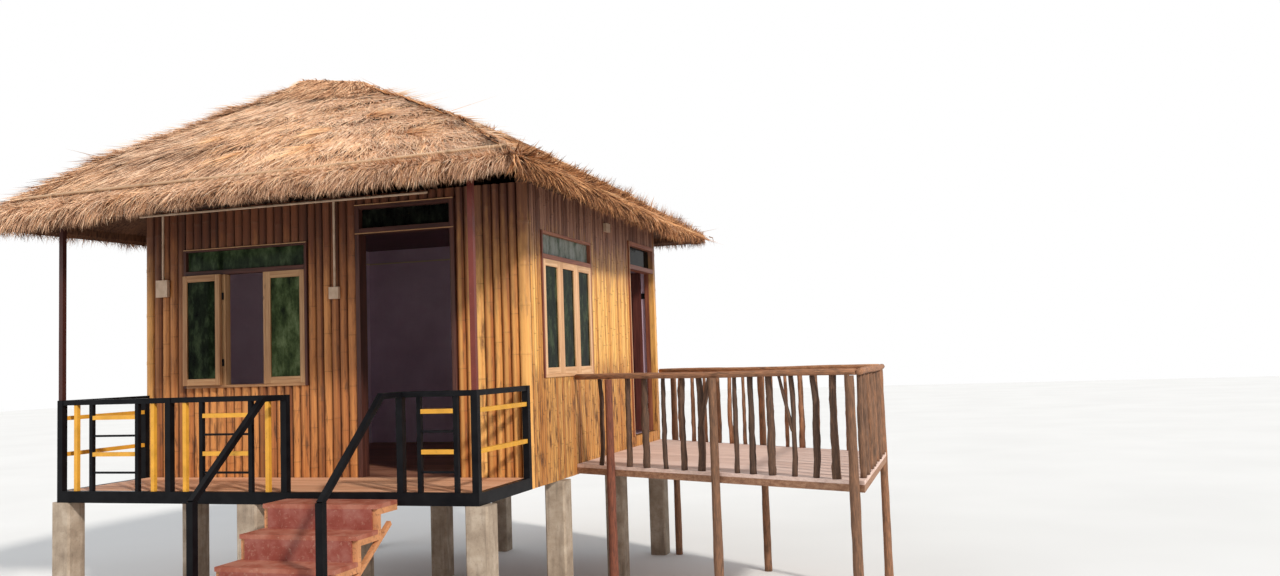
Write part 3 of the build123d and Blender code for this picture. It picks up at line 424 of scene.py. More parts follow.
class Shade:
    """Node helpers for one procedural material."""

    def __init__(self, name, roughness=0.6, grained=True):
        self.material = bpy.data.materials.new(name)
        self.material.use_nodes = True
        self.tree = self.material.node_tree
        self.shader = self.tree.nodes["Principled BSDF"]
        self.place = self.add("TexCoord", {}).outputs["Object"]
        self.grain = self.read("grain", "Vector") if grained else self.place
        self.set({"Roughness": roughness})

    def add(self, kind, inputs):
        return feed(self.tree, self.tree.nodes.new("ShaderNode" + kind), inputs)

    def set(self, inputs):
        feed(self.tree, self.shader, inputs)

    def read(self, name, output="Fac"):
        node = self.add("Attribute", {})
        node.attribute_name = name
        return node.outputs[output]

    def noise(self, scale, stretch=(1, 1, 1), detail=3, source=None, roughness=0.55):
        scales = [scale * value for value in stretch]
        mapping = self.add("Mapping", {"Scale": scales, "Vector": source or self.grain})
        return self.add("TexNoise", {
            "Scale": 1, "Detail": detail, "Roughness": roughness, "Vector": mapping.outputs["Vector"],
        }).outputs["Fac"]

    def ramp(self, value, colours, places=(0.0, 0.5, 1.0)):
        node = self.add("ValToRGB", {"Fac": value})
        elements = node.color_ramp.elements
        while len(elements) < len(colours):
            elements.new(1.0)
        for element, place, colour in zip(elements, places, colours):
            element.position = place
            element.color = (*colour, 1)
        return node.outputs["Color"]

    def span(self, value, low, high, start=0.0, end=1.0):
        return self.add("MapRange", {
            "From Min": low, "From Max": high, "To Min": start, "To Max": end, "Value": value,
        }).outputs["Result"]

    def maths(self, operation, first, second):
        node = self.add("Math", {0: first, 1: second})
        node.operation = operation
        return node.outputs["Value"]

    def vary(self, value, texture, amount):
        """A value moved up and down by a texture."""
        return self.maths("ADD", value, self.span(texture, 0.3, 0.7, -amount, amount))

    def mix(self, share, first, second, blend="MIX"):
        node = self.tree.nodes.new("ShaderNodeMix")
        node.data_type = "RGBA"
        node.blend_type = blend
        return feed(self.tree, node, {0: share, 6: first, 7: second}).outputs[2]

    def axis(self, label):
        """Distance to the right as X, level as Z."""
        return self.add("SeparateXYZ", {"Vector": self.place}).outputs[label]

    def bump(self, height, strength, distance):
        bump = self.add("Bump", {"Strength": strength, "Distance": distance, "Height": height})
        self.set({"Normal": bump.outputs["Normal"]})

    def finish(self, colour, height, strength, distance):
        """The material with its colour and its bump."""
        self.set({"Base Color": colour})
        self.bump(height, strength, distance)
        return self.material


def above(level):
    return floor_level + level


def thatch_material():
    """Dry grass: every straw has its own shade, from dark brown to pale straw, and some are orange."""
    shade = Shade("thatch_straw", 0.8)
    fleck = shade.noise(60, (1, 1, 0.25), detail=2)
    patch = shade.noise(2.3, source=shade.place)
    value = shade.vary(shade.vary(shade.read("tone"), fleck, 0.08), patch, 0.08)
    places = (0.0, 0.22, 0.48, 0.74, 1.0)
    pale = shade.ramp(value, ((0.045, 0.021, 0.013), (0.19, 0.098, 0.056), (0.54, 0.325, 0.205),
                              (0.8, 0.545, 0.38), (0.95, 0.73, 0.54)), places)
    burnt = shade.ramp(value, ((0.045, 0.018, 0.009), (0.2, 0.076, 0.03), (0.54, 0.245, 0.1),
                               (0.78, 0.42, 0.195), (0.95, 0.64, 0.35)), places)
    shade.set({"Specular IOR Level": 0.25})
    return shade.finish(shade.mix(shade.read("stain"), pale, burnt), fleck, 0.3, 0.002)


def bamboo_material(name, low_colours, eave_shade_and_smoke_colours, fade, mottle, mottle_levels, groove_shade=0.85, damp=0.0,
                    edges=(0.12, 0.7), crest=0.0):
    """Weathered bamboo: golden culms that darken towards the eaves, partly by smoke staining and partly as
    painted shade of the eaves, ringed, stained, and with painted shade between culms.

    fade holds the levels where the colours of the tops take over. mottle is how dark the spots are at the
    lower of two levels and damp how brown the culms are there. crest is the strength of a painted highlight
    down their middles. The painted shade at their edges has a strength of its own, and edges holds where it
    starts and ends.
    """
    shade = Shade(name, 0.42)
    streak = shade.noise(1, (70, 70, 1.6), detail=4)
    blotch = shade.noise(1, (12, 12, 3.0), detail=5, roughness=0.65)
    patch = shade.noise(1, (30, 30, 5.0), detail=4, roughness=0.6)
    stain = shade.read("stain")
    value = shade.vary(shade.read("tone"), streak, 0.3)
    sunny = shade.ramp(value, low_colours)
    height = shade.vary(shade.axis("Z"), blotch, 0.22)
    if damp:
        sunny = shade.mix(shade.span(height, *mottle_levels, damp, 0), sunny, (0.36, 0.135, 0.04))
    # The tops take darker colours, partly smoke staining and partly painted shade of the eaves.
    high = shade.span(height, *fade)
    colour = shade.mix(high, sunny, shade.ramp(value, eave_shade_and_smoke_colours))
    spots = shade.maths("MULTIPLY", shade.span(patch, 0.5, 0.62), shade.span(blotch, 0.38, 0.54))
    amount = shade.maths("MULTIPLY", spots, shade.span(shade.axis("Z"), *mottle_levels, mottle, 0.3 * mottle))
    colour = shade.mix(amount, colour, (0.11, 0.042, 0.016))
    colour = shade.mix(shade.span(shade.read("ring"), 0.35, 0.95, 0, 0.5), colour, (0.09, 0.042, 0.018))
    # A painted highlight down the middle of each culm.
    if crest:
        pale = [tuple(1.25 * value for value in colours[2]) for colours in (low_colours, eave_shade_and_smoke_colours)]
        colour = shade.mix(shade.span(stain, 0.0, 0.16, crest, 0), colour, shade.mix(high, *pale))
    # Painted shade at the edges of each culm, between culms.
    colour = shade.mix(shade.span(stain, *edges, 0, groove_shade), colour, (0.028, 0.01, 0.005))
    shade.set({"Specular IOR Level": 0.3, "Roughness": shade.span(blotch, 0.2, 0.8, 0.38, 0.62)})
    return shade.finish(colour, streak, 0.25, 0.002)


def wood_material(name, dark, middle, light, roughness=0.5, grained=True, knots=0.0, along=2):
    """Sawn wood: streaks along the grain, each board its own shade."""
    shade = Shade(name, roughness, grained)
    stretch = [46, 46, 46]
    stretch[along] = 1.6
    streak = shade.noise(1, stretch, detail=5, roughness=0.6)
    fine = shade.noise(4, stretch)
    value = shade.vary(shade.span(streak, 0.28, 0.72, 0.1, 0.9), fine, 0.12)
    if grained:
        value = shade.maths("ADD", value, shade.span(shade.read("tone"), 0, 1, -0.2, 0.2))
    colour = shade.ramp(value, (dark, middle, light))
    if knots:
        spot = shade.noise(1, (22, 22, 9), detail=1)
        colour = shade.mix(shade.span(spot, 0.72, 0.8, 0, knots), colour, tuple(0.4 * v for v in dark))
    shade.set({"Specular IOR Level": 0.3})
    return shade.finish(colour, fine, 0.18, 0.0015)


def paint_material(name, base, worn, roughness=0.4, wear=(0.6, 0.7), dust=None, gloss=0.3, painted_shade_left=None):
    """Painted steel: slightly uneven gloss, scuffs down to an undercoat, dust in patches.

    The last argument holds two distances along the front and the strength of painted shade left of them.
    """
    shade = Shade(name, grained=False)
    cloud = shade.noise(9, detail=4)
    chip = shade.noise(38, detail=5, roughness=0.7)
    tint = tuple(value * 1.35 + 0.004 for value in base)
    colour = shade.mix(shade.span(cloud, 0.3, 0.7), base, tint)
    colour = shade.mix(shade.span(chip, *wear, 0, 0.85), colour, worn)
    if dust:
        colour = shade.mix(shade.span(cloud, 0.42, 0.66, 0, 0.6), colour, dust)
    # Painted shade on the paint left of the given distances along the front.
    if painted_shade_left:
        colour = shade.mix(shade.span(shade.axis("X"), *painted_shade_left, 0), colour, (0.018, 0.01, 0.008))
    uneven = shade.span(cloud, 0.2, 0.8, roughness - 0.08, roughness + 0.18)
    shade.set({"Specular IOR Level": gloss, "Roughness": uneven})
    return shade.finish(colour, chip, 0.12, 0.0008)


def concrete_material():
    """Cast concrete: pale grey with damp stains and small pits."""
    shade = Shade("cast_concrete", 0.9, grained=False)
    cloud = shade.noise(4.5, detail=6, roughness=0.65)
    pit = shade.noise(70)
    drip = shade.noise(1, (22, 22, 2.5), detail=4)
    colours = ((0.18, 0.13, 0.092), (0.37, 0.29, 0.215), (0.55, 0.46, 0.365))
    colour = shade.ramp(cloud, colours, (0.25, 0.5, 0.75))
    colour = shade.mix(shade.span(drip, 0.52, 0.72, 0, 0.55), colour, (0.15, 0.11, 0.08))
    colour = shade.mix(shade.span(pit, 0.6, 0.72, 0, 0.5), colour, (0.13, 0.1, 0.08))
    return shade.finish(colour, pit, 0.5, 0.004)


def bark_material(name, tinge=(1.0, 1.0, 1.0)):
    """Thin bark on round wood: grey brown to pinkish brown, furrowed along the stem."""
    shade = Shade(name, 0.85)
    furrow = shade.noise(1, (120, 120, 12), detail=5, roughness=0.7)
    patch = shade.noise(1, (26, 26, 7), detail=4)
    colours = ((0.03, 0.016, 0.01), (0.105, 0.054, 0.032), (0.23, 0.115, 0.062), (0.4, 0.18, 0.09),
               (0.58, 0.32, 0.16))
    colour = shade.ramp(shade.vary(shade.read("tone"), furrow, 0.22), colours, (0.0, 0.35, 0.6, 0.8, 1.0))
    colour = shade.mix(shade.span(patch, 0.56, 0.7, 0, 0.6), colour, (0.055, 0.034, 0.022))
    return shade.finish(shade.mix(1.0, colour, tinge, "MULTIPLY"), furrow, 0.8, 0.006)


def cloudy_material(name, roughness, scale, detail, colours, grit=None, depth=(0.0, 0.0)):
    """A plain surface that is a little cloudy. grit holds the scale and detail of its bump."""
    shade = Shade(name, roughness, grained=False)
    shade.set({"Base Color": shade.ramp(shade.noise(scale, detail=detail), colours, (0.3, 0.7))})
    if grit:
        shade.bump(shade.noise(grit[0], detail=grit[1]), *depth)
    return shade.material


def glass_material(name, top, pane=None):
    """Dark tinted glass with three colours for its top light, which paint its reflection. A greener painted
    reflection lies between the distances in pane.
    """
    shade = Shade(name, 0.05, grained=False)
    cloud = shade.noise(1, (9, 9, 4.5), detail=6, roughness=0.7)
    dark = ((0.002, 0.003, 0.002), (0.012, 0.019, 0.009), (0.06, 0.085, 0.04))
    colour = shade.ramp(cloud, dark, (0.36, 0.52, 0.7))
    # A greener painted reflection over the pane between the given distances.
    if pane:
        green = ((0.008, 0.014, 0.005), (0.06, 0.09, 0.032), (0.2, 0.26, 0.12))
        start = shade.span(shade.axis("X"), pane[0] - 0.01, pane[0])
        inside = shade.maths("MULTIPLY", start, shade.span(shade.axis("X"), pane[1], pane[1] + 0.01, 1, 0))
        share = shade.maths("MULTIPLY", inside, 0.8)
        colour = shade.mix(share, colour, shade.ramp(cloud, green, (0.36, 0.5, 0.68)))
    # Painted reflection in the top light.
    above_bar = shade.span(shade.axis("Z"), above(transom) - 0.01, above(transom) + 0.01)
    colour = shade.mix(above_bar, colour, shade.ramp(cloud, top, (0.36, 0.52, 0.7)))
    shade.set({"Base Color": colour, "Specular IOR Level": 0.04, "Transmission Weight": 0.15, "IOR": 1.25})
    return shade.material


straw = thatch_material()
# Front culms: their own reddish brown, darkened further as painted shade of the wall under the roof.
front_bamboo = bamboo_material(
    "front_bamboo",
    ((0.17, 0.052, 0.015), (0.4, 0.14, 0.04), (0.62, 0.265, 0.08)),
    ((0.07, 0.021, 0.01), (0.125, 0.038, 0.016), (0.2, 0.066, 0.028)),
    (2.55, 3.3), 0.95, (1.6, 3.4), groove_shade=0.88, edges=(0.3, 1.0), crest=0.25,
)
porch_bamboo = bamboo_material(
    "porch_bamboo",
    ((0.34, 0.105, 0.022), (0.6, 0.25, 0.062), (0.8, 0.44, 0.135)),
    ((0.066, 0.02, 0.012), (0.13, 0.045, 0.026), (0.24, 0.105, 0.052)),
    (2.45, 3.35), 0.85, (2.2, 3.4), groove_shade=0.97, edges=(0.4, 1.0), crest=0.4,
)
side_bamboo = bamboo_material(
    "side_bamboo",
    ((0.5, 0.21, 0.045), (0.77, 0.385, 0.1), (0.91, 0.54, 0.165)),
    ((0.145, 0.06, 0.038), (0.26, 0.12, 0.078), (0.42, 0.215, 0.14)),
    (2.7, 3.25), 1.0, (1.95, 2.15), groove_shade=0.75, damp=0.6, edges=(0.2, 0.95),
)
pale_culm = ((0.3, 0.18, 0.1), (0.5, 0.32, 0.19), (0.66, 0.46, 0.29))
batten_bamboo = bamboo_material("batten_bamboo", pale_culm, pale_culm, (2.35, 3.35), 0.4, (1.2, 3.2))
pole_bamboo = wood_material(
    "pole_bamboo", (0.12, 0.055, 0.025), (0.25, 0.13, 0.06), (0.36, 0.2, 0.1), grained=False)
orange_wood = wood_material(
    "orange_wood", (0.28, 0.128, 0.05), (0.43, 0.225, 0.102), (0.58, 0.35, 0.175), 0.45, knots=0.8)
sunny_wood = wood_material(
    "sunny_wood", (0.42, 0.205, 0.09), (0.66, 0.37, 0.18), (0.82, 0.53, 0.3), 0.45, knots=0.6)
red_wood = wood_material("red_wood", (0.115, 0.03, 0.018), (0.26, 0.08, 0.042), (0.42, 0.165, 0.085))
shade_wood = wood_material("shade_wood", (0.03, 0.01, 0.007), (0.075, 0.024, 0.016), (0.14, 0.048, 0.03))
floor_wood = wood_material("floor_wood", (0.12, 0.045, 0.028), (0.26, 0.105, 0.062), (0.4, 0.19, 0.12))
porch_wood = wood_material("porch_wood", (0.42, 0.185, 0.1), (0.68, 0.36, 0.21), (0.82, 0.5, 0.33), 0.6)
deck_wood = wood_material("deck_wood", (0.5, 0.33, 0.265), (0.7, 0.5, 0.42), (0.84, 0.64, 0.55), 0.7)
deck_timber = wood_material(
    "deck_timber", (0.16, 0.075, 0.045), (0.31, 0.16, 0.092), (0.46, 0.27, 0.165), 0.7, False, along=0)
maroon_wood = wood_material(
    "maroon_wood", (0.05, 0.012, 0.01), (0.1, 0.026, 0.02), (0.16, 0.05, 0.036), grained=False)
dark_timber = wood_material(
    "dark_timber", (0.035, 0.016, 0.01), (0.075, 0.036, 0.024), (0.13, 0.068, 0.046), 0.75, False, along=0)
ceiling_wood = wood_material(
    "ceiling_wood", (0.055, 0.018, 0.02), (0.1, 0.036, 0.038), (0.16, 0.062, 0.062), 0.5, False, along=0)
cream_trim = wood_material("cream_trim", (0.62, 0.5, 0.36), (0.74, 0.62, 0.46), (0.84, 0.72, 0.56))
black_paint = paint_material(
    "black_paint", (0.003, 0.003, 0.004), (0.05, 0.032, 0.022), 0.32, (0.7, 0.8), gloss=0.08)
yellow_paint = paint_material("yellow_paint", (0.56, 0.275, 0.03), (0.28, 0.13, 0.04))
# The far left roof post takes painted shade.
red_paint = paint_material("red_paint", (0.125, 0.022, 0.014), (0.22, 0.07, 0.04), painted_shade_left=(-3.0, -2.0, 0.75))
riser_paint = paint_material(
    "riser_paint", (0.22, 0.048, 0.032), (0.4, 0.22, 0.16), 0.5, (0.56, 0.7), (0.33, 0.15, 0.12))
tread_paint = paint_material(
    "tread_paint", (0.27, 0.072, 0.042), (0.44, 0.24, 0.17), 0.5, (0.56, 0.7), (0.42, 0.2, 0.14))
orange_paint = paint_material("orange_paint", (0.46, 0.205, 0.09), (0.22, 0.095, 0.05), 0.55, (0.52, 0.68))
bark = bark_material("bark")
red_bark = bark_material("red_bark", (1.0, 0.62, 0.6))
# Painted reflection: green on the front panes, pale grey in the side window's top light.
front_glass = glass_material(
    "front_glass", ((0.004, 0.007, 0.004), (0.035, 0.055, 0.024), (0.11, 0.15, 0.075)), (-2.42, -1.7))
side_glass = glass_material(
    "side_glass", ((0.06, 0.085, 0.05), (0.26, 0.275, 0.23), (0.36, 0.38, 0.35)))
door_glass = glass_material(
    "door_glass", ((0.002, 0.002, 0.002), (0.008, 0.009, 0.007), (0.03, 0.036, 0.024)))
plaster = cloudy_material(
    "lilac_plaster", 0.9, 1.7, 5, ((0.66, 0.5, 0.62), (0.84, 0.68, 0.8)), (120, 2), (0.15, 0.001))
plastic = cloudy_material(
    "aged_plastic", 0.5, 11, 4, ((0.46, 0.31, 0.2), (0.66, 0.48, 0.34)), (11, 4), (0.05, 0.001))
stage_pale = cloudy_material("stage_pale", 0.9, 0.4, 2, ((0.78, 0.78, 0.77), (0.82, 0.82, 0.81)))

# Finishes of the solids that show as they are

finishes = (
    (concrete_material(), ("pillars",)),
    (dark_timber, ("floor_beams", "roof_beams")),
    (deck_timber, ("deck_beams",)),
    (ceiling_wood, ("ceiling",)),
    (black_paint, ("veranda_frame", "front_railings", "side_railings", "handrails", "front_window_hinges",
                   "side_door_hinges")),
    (plaster, ("wall_lining",)),
    (front_glass, ("front_window_glass",)),
    (side_glass, ("side_window_glass",)),
    (door_glass, ("door_lights",)),
    (maroon_wood, ("side_door_leaf",)),
    (pole_bamboo, ("rafters",)),
    (red_paint, ("roof_posts",)),
    (yellow_paint, ("yellow_rail_bars",)),
    (tread_paint, ("stair_treads",)),
    (riser_paint, ("stair_risers",)),
    (orange_paint, ("stair_stringers",)),
    (plastic, ("wiring",)),
)
for material, names in finishes:
    for name in names:
        nodes[name].data.materials.clear()
        nodes[name].data.materials.append(material)


# Walls

def build_walls():
    """Culms beside, under and over the openings of the front and right walls, and all over the others."""
    full = (skirt_level, wall_top)
    inner = room_side - cladding_depth
    front_far = front_window[0] + front_window[1]
    front_door_far = front_door[0] + front_door[1]
    side_far = side_window[0] + side_window[1]
    side_door_far = side_door[0] + side_door[1]
    for name, place, material, node, culms, spans in (
        ("front_culms", front_place, front_bamboo, ["front_wall"], round_culms, (
            (front_far, inner, *full),
            (front_door_far, front_window[0], *full),
            (front_window[0], front_far, skirt_level, above(sill)),
            (front_window[0], front_far, above(window_head), wall_top),
            (front_door[0], front_door_far, above(front_door_head), wall_top),
        )),
        ("porch_culms", front_place, porch_bamboo, [], porch_culms, (
            (cladding_depth, front_door[0], *full),
        )),
        ("right_culms", side_place, side_bamboo, ["right_wall"], split_culms, (
            (cladding_depth, side_window[0], *full),
            (side_far, side_door[0], *full),
            (side_window[0], side_far, skirt_level, above(sill)),
            (side_door[0], side_door_far, skirt_level, above(side_door_sill)),
            (side_window[0], side_far, above(window_head), wall_top),
            (side_door[0], side_door_far, above(side_door_head), wall_top),
        )),
        ("rear_culms", rear_place, side_bamboo, ["rear_wall"], split_culms, [(cladding_depth, inner, *full)]),
        ("left_culms", left_place, side_bamboo, ["left_wall"], split_culms, [(cladding_depth, inner, *full)]),
    ):
        shapes = Shapes()
        for start, end, low, high in spans:
            culm_wall(shapes, place, start + joint_gap, end - joint_gap, low, high, *culms)
        shapes.build(name, material, node)


def build_corner_posts():
    """Rounded corner culms, ringed at their nodes, with painted shade towards the walls."""
    shapes = Shapes()
    half = cladding_depth / 2
    angles = np.radians(np.add.outer((0, 90, 180, 270), (0, 22.5, 45, 67.5, 90)).ravel())
    flat = half - corner_radius
    cx = np.repeat((flat, -flat, -flat, flat), 5) + corner_radius * np.cos(angles)
    cy = np.repeat((flat, flat, -flat, -flat), 5) + corner_radius * np.sin(angles)
    for x, outer_x in ((left_face + half, -1), (right_face - half, 1)):
        for y, outer_y in ((wall_front + half, -1), (wall_rear - half, 1)):
            level, swell, mark = node_rows(skirt_level, wall_top, culm_node_spacing)
            seed = uniform(0, 30)
            grow = 1 + culm_node_swell * swell / half
            depth = np.minimum(half - outer_x * cx, half - outer_y * cy)
            points = grid(x + cx * grow, y + cy * grow, level)
            # Painted shade, darker towards the walls.
            stain = np.clip((depth - 0.01) / 0.03, 0, 1)
            add_culm(shapes, points, grid(cx + seed, cy, level + seed), mark, stain, uniform(0.3, 0.6))
    shapes.build("corner_culms", porch_bamboo, ["corner_posts"])


# Joinery

def opening_boards(name, place, start, material, replaced, boards):
    """One piece from boards in an opening's own coordinates.

    A board has distances from the left jamb as seen from outside, depths behind the wall's face, levels, the
    axis of its grain and for some a tone.
    """
    turn = 1 if place is side_place else -1

    def put(points):
        return place(points * (turn, 1, 1) + (start, 0, 0))

    shapes = Shapes()
    for x, depth, z, along, *tone in boards:
        board(shapes, *zip(x, depth, z), along, put, tone)
    shapes.build(name, material, replaced)


def build_window(name, place, start, width, open_bay):
    """Frame, mullions, transom and three sashes, each of separate stiles and rails."""
    side = place is side_place
    pale_wood = sunny_wood if side else orange_wood
    base = above(sill)
    bar = above(transom)
    top = above(window_head)
    face = (-frame_proud, frame_depth - frame_proud)
    bay = (width - 4 * window_bar) / 3
    inner = (window_bar, width - window_bar)
    opening_boards(name + "_dark_boards", place, start, red_wood if side else shade_wood, [
        name + "_frame"], [
        ((0, window_bar), face, (base, top), 2),
        ((width - window_bar, width), face, (base, top), 2),
        (inner, face, (top - window_bar, top), 0),
        (inner, face, (bar, bar + transom_height), 0),
    ])
    boards = [(inner, face, (base, base + window_bar), 0)]
    for left in (bay + window_bar, 2 * (bay + window_bar)):
        boards.append(((left, left + window_bar), face, (base + window_bar, bar), 2))
    if not side:
        proud = (-frame_proud - 0.004, -frame_proud - joint_gap)
        boards.append(((0, width), proud, (top - batten_width, top), 0))
    opening_boards(name + "_light_boards", place, start, pale_wood, [], boards)
    boards = []
    low, high = base + window_bar + joint_gap, bar - joint_gap
    for index in range(3):
        left = window_bar + index * (bay + window_bar) + joint_gap
        depth = (-frame_proud + joint_gap, -frame_proud + joint_gap + sash_thickness)
        if index == open_bay:
            left -= bay + window_bar
            depth = (-frame_proud - open_sash_gap - sash_thickness, -frame_proud - open_sash_gap)
        right = left + bay - 2 * joint_gap
        across = (left + sash_stile, right - sash_stile)
        boards += [
            ((left, left + sash_stile), depth, (low, high), 2),
            ((right - sash_stile, right), depth, (low, high), 2),
            (across, depth, (low, low + sash_rail), 0),
            (across, depth, (high - sash_rail, high), 0),
        ]
    opening_boards(name + "_sash_boards", place, start, pale_wood, [name + "_sashes"], boards)


def build_door_frame(name, place, start, width, low, bar, head):
    """Jambs, the bar over the doorway and the head, with thin battens along them."""
    side = place is side_place
    low, bar, head = above(low), above(bar), above(head)
    depth = far_depth = (-frame_proud, wall_depth)
    far_jamb = (width - frame_width, width)
    if side:
        far_depth = (wall_depth / 2, wall_depth)
        opening_boards("side_door_far_casing", place, start, side_bamboo, [], [
            (far_jamb, (-frame_proud, wall_depth / 2 - joint_gap), (low, head), 2, 0.6),
        ])
    inner = (frame_width, width - frame_width)
    opening_boards(name + "_boards", place, start, red_wood if side else shade_wood, [name], [
        ((0, frame_width), depth, (low, head), 2),
        (far_jamb, far_depth, (low, head), 2),
        (inner, depth, (head - frame_width, head), 0),
        (inner, depth, (bar, bar + door_bar_depth), 0),
    ])
    proud = (-frame_proud - 0.006, -frame_proud - joint_gap)
    boards = [((0, side_batten_width), proud, (low, head), 2)]
    if not side:
        levels = ((head - batten_width, head), (bar, bar + batten_width))
        boards = [((0, width), proud, z, 0) for z in levels]
    opening_boards(name + "_battens", place, start, orange_wood, [], boards)


def build_cornice():
    """The thin cream moulding round the room, under its ceiling."""
    inner = wall_depth + 2 * joint_gap
    low_x, high_x = left_face + inner, right_face - inner
    low_y, high_y = wall_front + inner, wall_rear - inner
    shapes = Shapes()
    for x, y, along in (
        ((low_x, high_x), (high_y - cornice_depth, high_y), 0),
        ((low_x, low_x + cornice_depth), (low_y, high_y - cornice_depth), 1),
        ((high_x - cornice_depth, high_x), (low_y, high_y - cornice_depth), 1),
    ):
        board(shapes, (x[0], y[0], cornice_levels[0]), (x[1], y[1], cornice_levels[1]), along, tone=[0.8])
    shapes.build("room_cornice", cream_trim)


# Floors

def planks(shapes, low, high, count):
    """Boards side by side with a fine gap between them."""
    step = (high[1] - low[1]) / count
    for index in range(count):
        y = low[1] + index * step
        board(shapes, (low[0], y + plank_gap, low[2]), (high[0], y + step - plank_gap, high[2]), 0)


def build_floors():
    """Planks of the room and the veranda, and the threshold of the front doorway."""
    inner = cladding_depth + joint_gap
    low, high = floor_level - plank_depth, floor_level - joint_gap
    shapes = Shapes()
    front = wall_front + joint_gap
    far_corner = (right_face - inner, wall_rear - inner, high)
    planks(shapes, (left_face + inner, wall_front + inner, low), far_corner, room_plank_count)
    door = right_face - front_door[0]
    board(shapes, (door - front_door[1], front, low), (door, wall_front + cladding_depth, high), 0)
    shapes.build("room_planks", floor_wood, ["room_floor"])
    shapes = Shapes()
    planks(shapes, *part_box("veranda_floor"), veranda_plank_count)
    shapes.build("veranda_planks", porch_wood, ["veranda_floor"])


def prism(shapes, outline, low, high, tone):
    """An upright prism on a plan outline that runs anticlockwise."""
    count = len(outline)
    points = np.array([(x, y, z) for z in (low, high) for x, y in outline])
    faces = [tuple(reversed(range(count))), tuple(range(count, 2 * count))]
    for i in range(count):
        k = (i + 1) % count
        faces.append((i, k, k + count, i + count))
    grain = points[:, [1, 2, 0]] + (uniform(0, 9), uniform(0, 9), 0)
    shapes.add(points, faces, tone, grain=grain)


def build_deck_floor():
    """Deck boards that fan with the two skew edges."""
    shapes = Shapes()
    ends = (deck_front_inner[0], deck_front_outer[0])
    near = (deck_front_inner[1], deck_front_outer[1])
    far = (deck_rear_inner[1], deck_rear_outer[1])
    for index in range(deck_board_count):
        low, high = index / deck_board_count, (index + 1) / deck_board_count
        outline = []
        for end, share, shift in ((0, low, 1), (1, low, 1), (1, high, -1), (0, high, -1)):
            y = near[end] + (far[end] - near[end]) * share + shift * deck_board_gap
            outline.append((ends[end], y))
        prism(shapes, outline, floor_level - deck_board, floor_level, uniform(0, 1))
    shapes.build("deck_planks", deck_wood, ["deck_floor"])


# Round wood of the deck

def edge_point(edge, distance, inset):
    """A plan point a distance along an edge, drawn in to its left."""
    run = unit(np.subtract(edge[1], edge[0]))
    return np.asarray(edge[0]) + run * distance + np.array([-run[1], run[0]]) * inset


def edge_length(edge):
    return float(np.linalg.norm(np.subtract(edge[1], edge[0])))


near_edge = (deck_front_inner, deck_front_outer)
end_edge = (deck_front_outer, deck_rear_outer)
far_edge = (deck_rear_outer, deck_rear_inner)
log_places = [
    edge_point(edge, share * edge_length(edge), -log_outset)
    for edge, shares in ((near_edge, near_posts), (far_edge, far_posts)) for share in shares
]


def stem(shapes, foot, height, radius, bow, phase, tone, lean=(0, 0), rough=0.1, rows=12):
    """A crooked stem that swells at knots."""
    line = []
    radii = []
    knots = uniform(0, 1, 2)
    for share in np.linspace(0, 1, rows):
        sway = bow * (math.sin(math.pi * share) + 0.25 * math.sin(3 * math.pi * share + phase))
        line.append((
            foot[0] + lean[0] * share + sway * math.cos(phase),
            foot[1] + lean[1] * share + sway * math.sin(phase),
            foot[2] + height * share,
        ))
        knot = sum(math.exp(-((share - place) * rows * 0.9) ** 2) for place in knots)
        radii.append(radius * (1.08 - 0.22 * share + 0.1 * knot))
    tube(shapes, line, radii, 10, tone, rough=rough)


def build_deck_wood():
    """Logs, rail poles and the crooked sticks between the boards and the rails."""
    shapes = Shapes()
    log_top = deck_rail_level - deck_rail_radius
    for number, (x, y) in enumerate(log_places):
        tone = 0.5 if number < 3 else 0.62
        stem(shapes, (x, y, 0), log_top, log_radius * 0.96, 0, number, tone, rough=0.06, rows=22)
        if number == 0:
            shapes.build("deck_first_log", red_bark, smooth=True)
            shapes = Shapes()
    shapes.build("deck_logs", bark, ["deck_posts"], smooth=True)
    shapes = Shapes()
    for edge, start, end, rows, radii, waves, tone in (
        (near_edge, 0.02, 0.031, 24, (1.02, 0.97), 9, 0.7),
        (far_edge[::-1], 0.03, 0.036, 24, (1.02, 0.97), 9, 0.86),
        (end_edge, 0, 0, 18, (1, 1), 7, 0.72),
    ):
        length = edge_length(edge) - start - end
        line = []
        for share in np.linspace(0, 1, rows):
            place = edge_point(edge, start + length * share, 0)
            line.append((*place, deck_rail_level + 0.003 * math.sin(waves * share)))
        tube(shapes, line, deck_rail_radius * np.linspace(*radii, rows), 12, tone, rough=0.05)
    shapes.build("deck_rail_poles", bark, ["deck_rails"], smooth=True)
    shapes = Shapes()
    height = log_top - floor_level + 0.004
    for number, share in enumerate(near_sticks):
        x, y = edge_point(near_edge, share * edge_length(near_edge), stick_radius)
        radius = stick_radius * (0.9 + 0.22 * (number % 3))
        if share in near_forks:
            side = 1 if share == near_forks[0] else -1
            stem(shapes, (x, y, floor_level), height, radius, 0.012, 0.4, 0.3)
            stem(shapes, (x, y, floor_level + 0.45 * height), 0.55 * height, radius * 0.72, 0, 0, 0.34,
                 lean=(side * 0.095, -side * 0.045))
        else:
            stem(shapes, (x, y, floor_level), height, radius, 0.018 - 0.008 * (number % 5), number * 1.9,
                 uniform(0.16, 0.44), rough=0.17, rows=18)
    for edge, tone in ((end_edge, 0.5), (far_edge, 0.68)):
        length = edge_length(edge)
        count = int(length / stick_spacing)
        for number in range(1, count):
            x, y = edge_point(edge, number * length / count, stick_radius)
            if min(math.hypot(x - px, y - py) for px, py in log_places) > log_radius + 2.2 * stick_radius:
                radius = stick_radius * (0.85 + 0.2 * (number % 3))
                stem(shapes, (x, y, floor_level), height, radius, 0.014 - 0.006 * (number % 5), number * 2.3,
                     tone + uniform(-0.1, 0.1), rough=0.15, rows=16)
    shapes.build("deck_crooked_sticks", bark, ["deck_sticks"], smooth=True)


# Roof

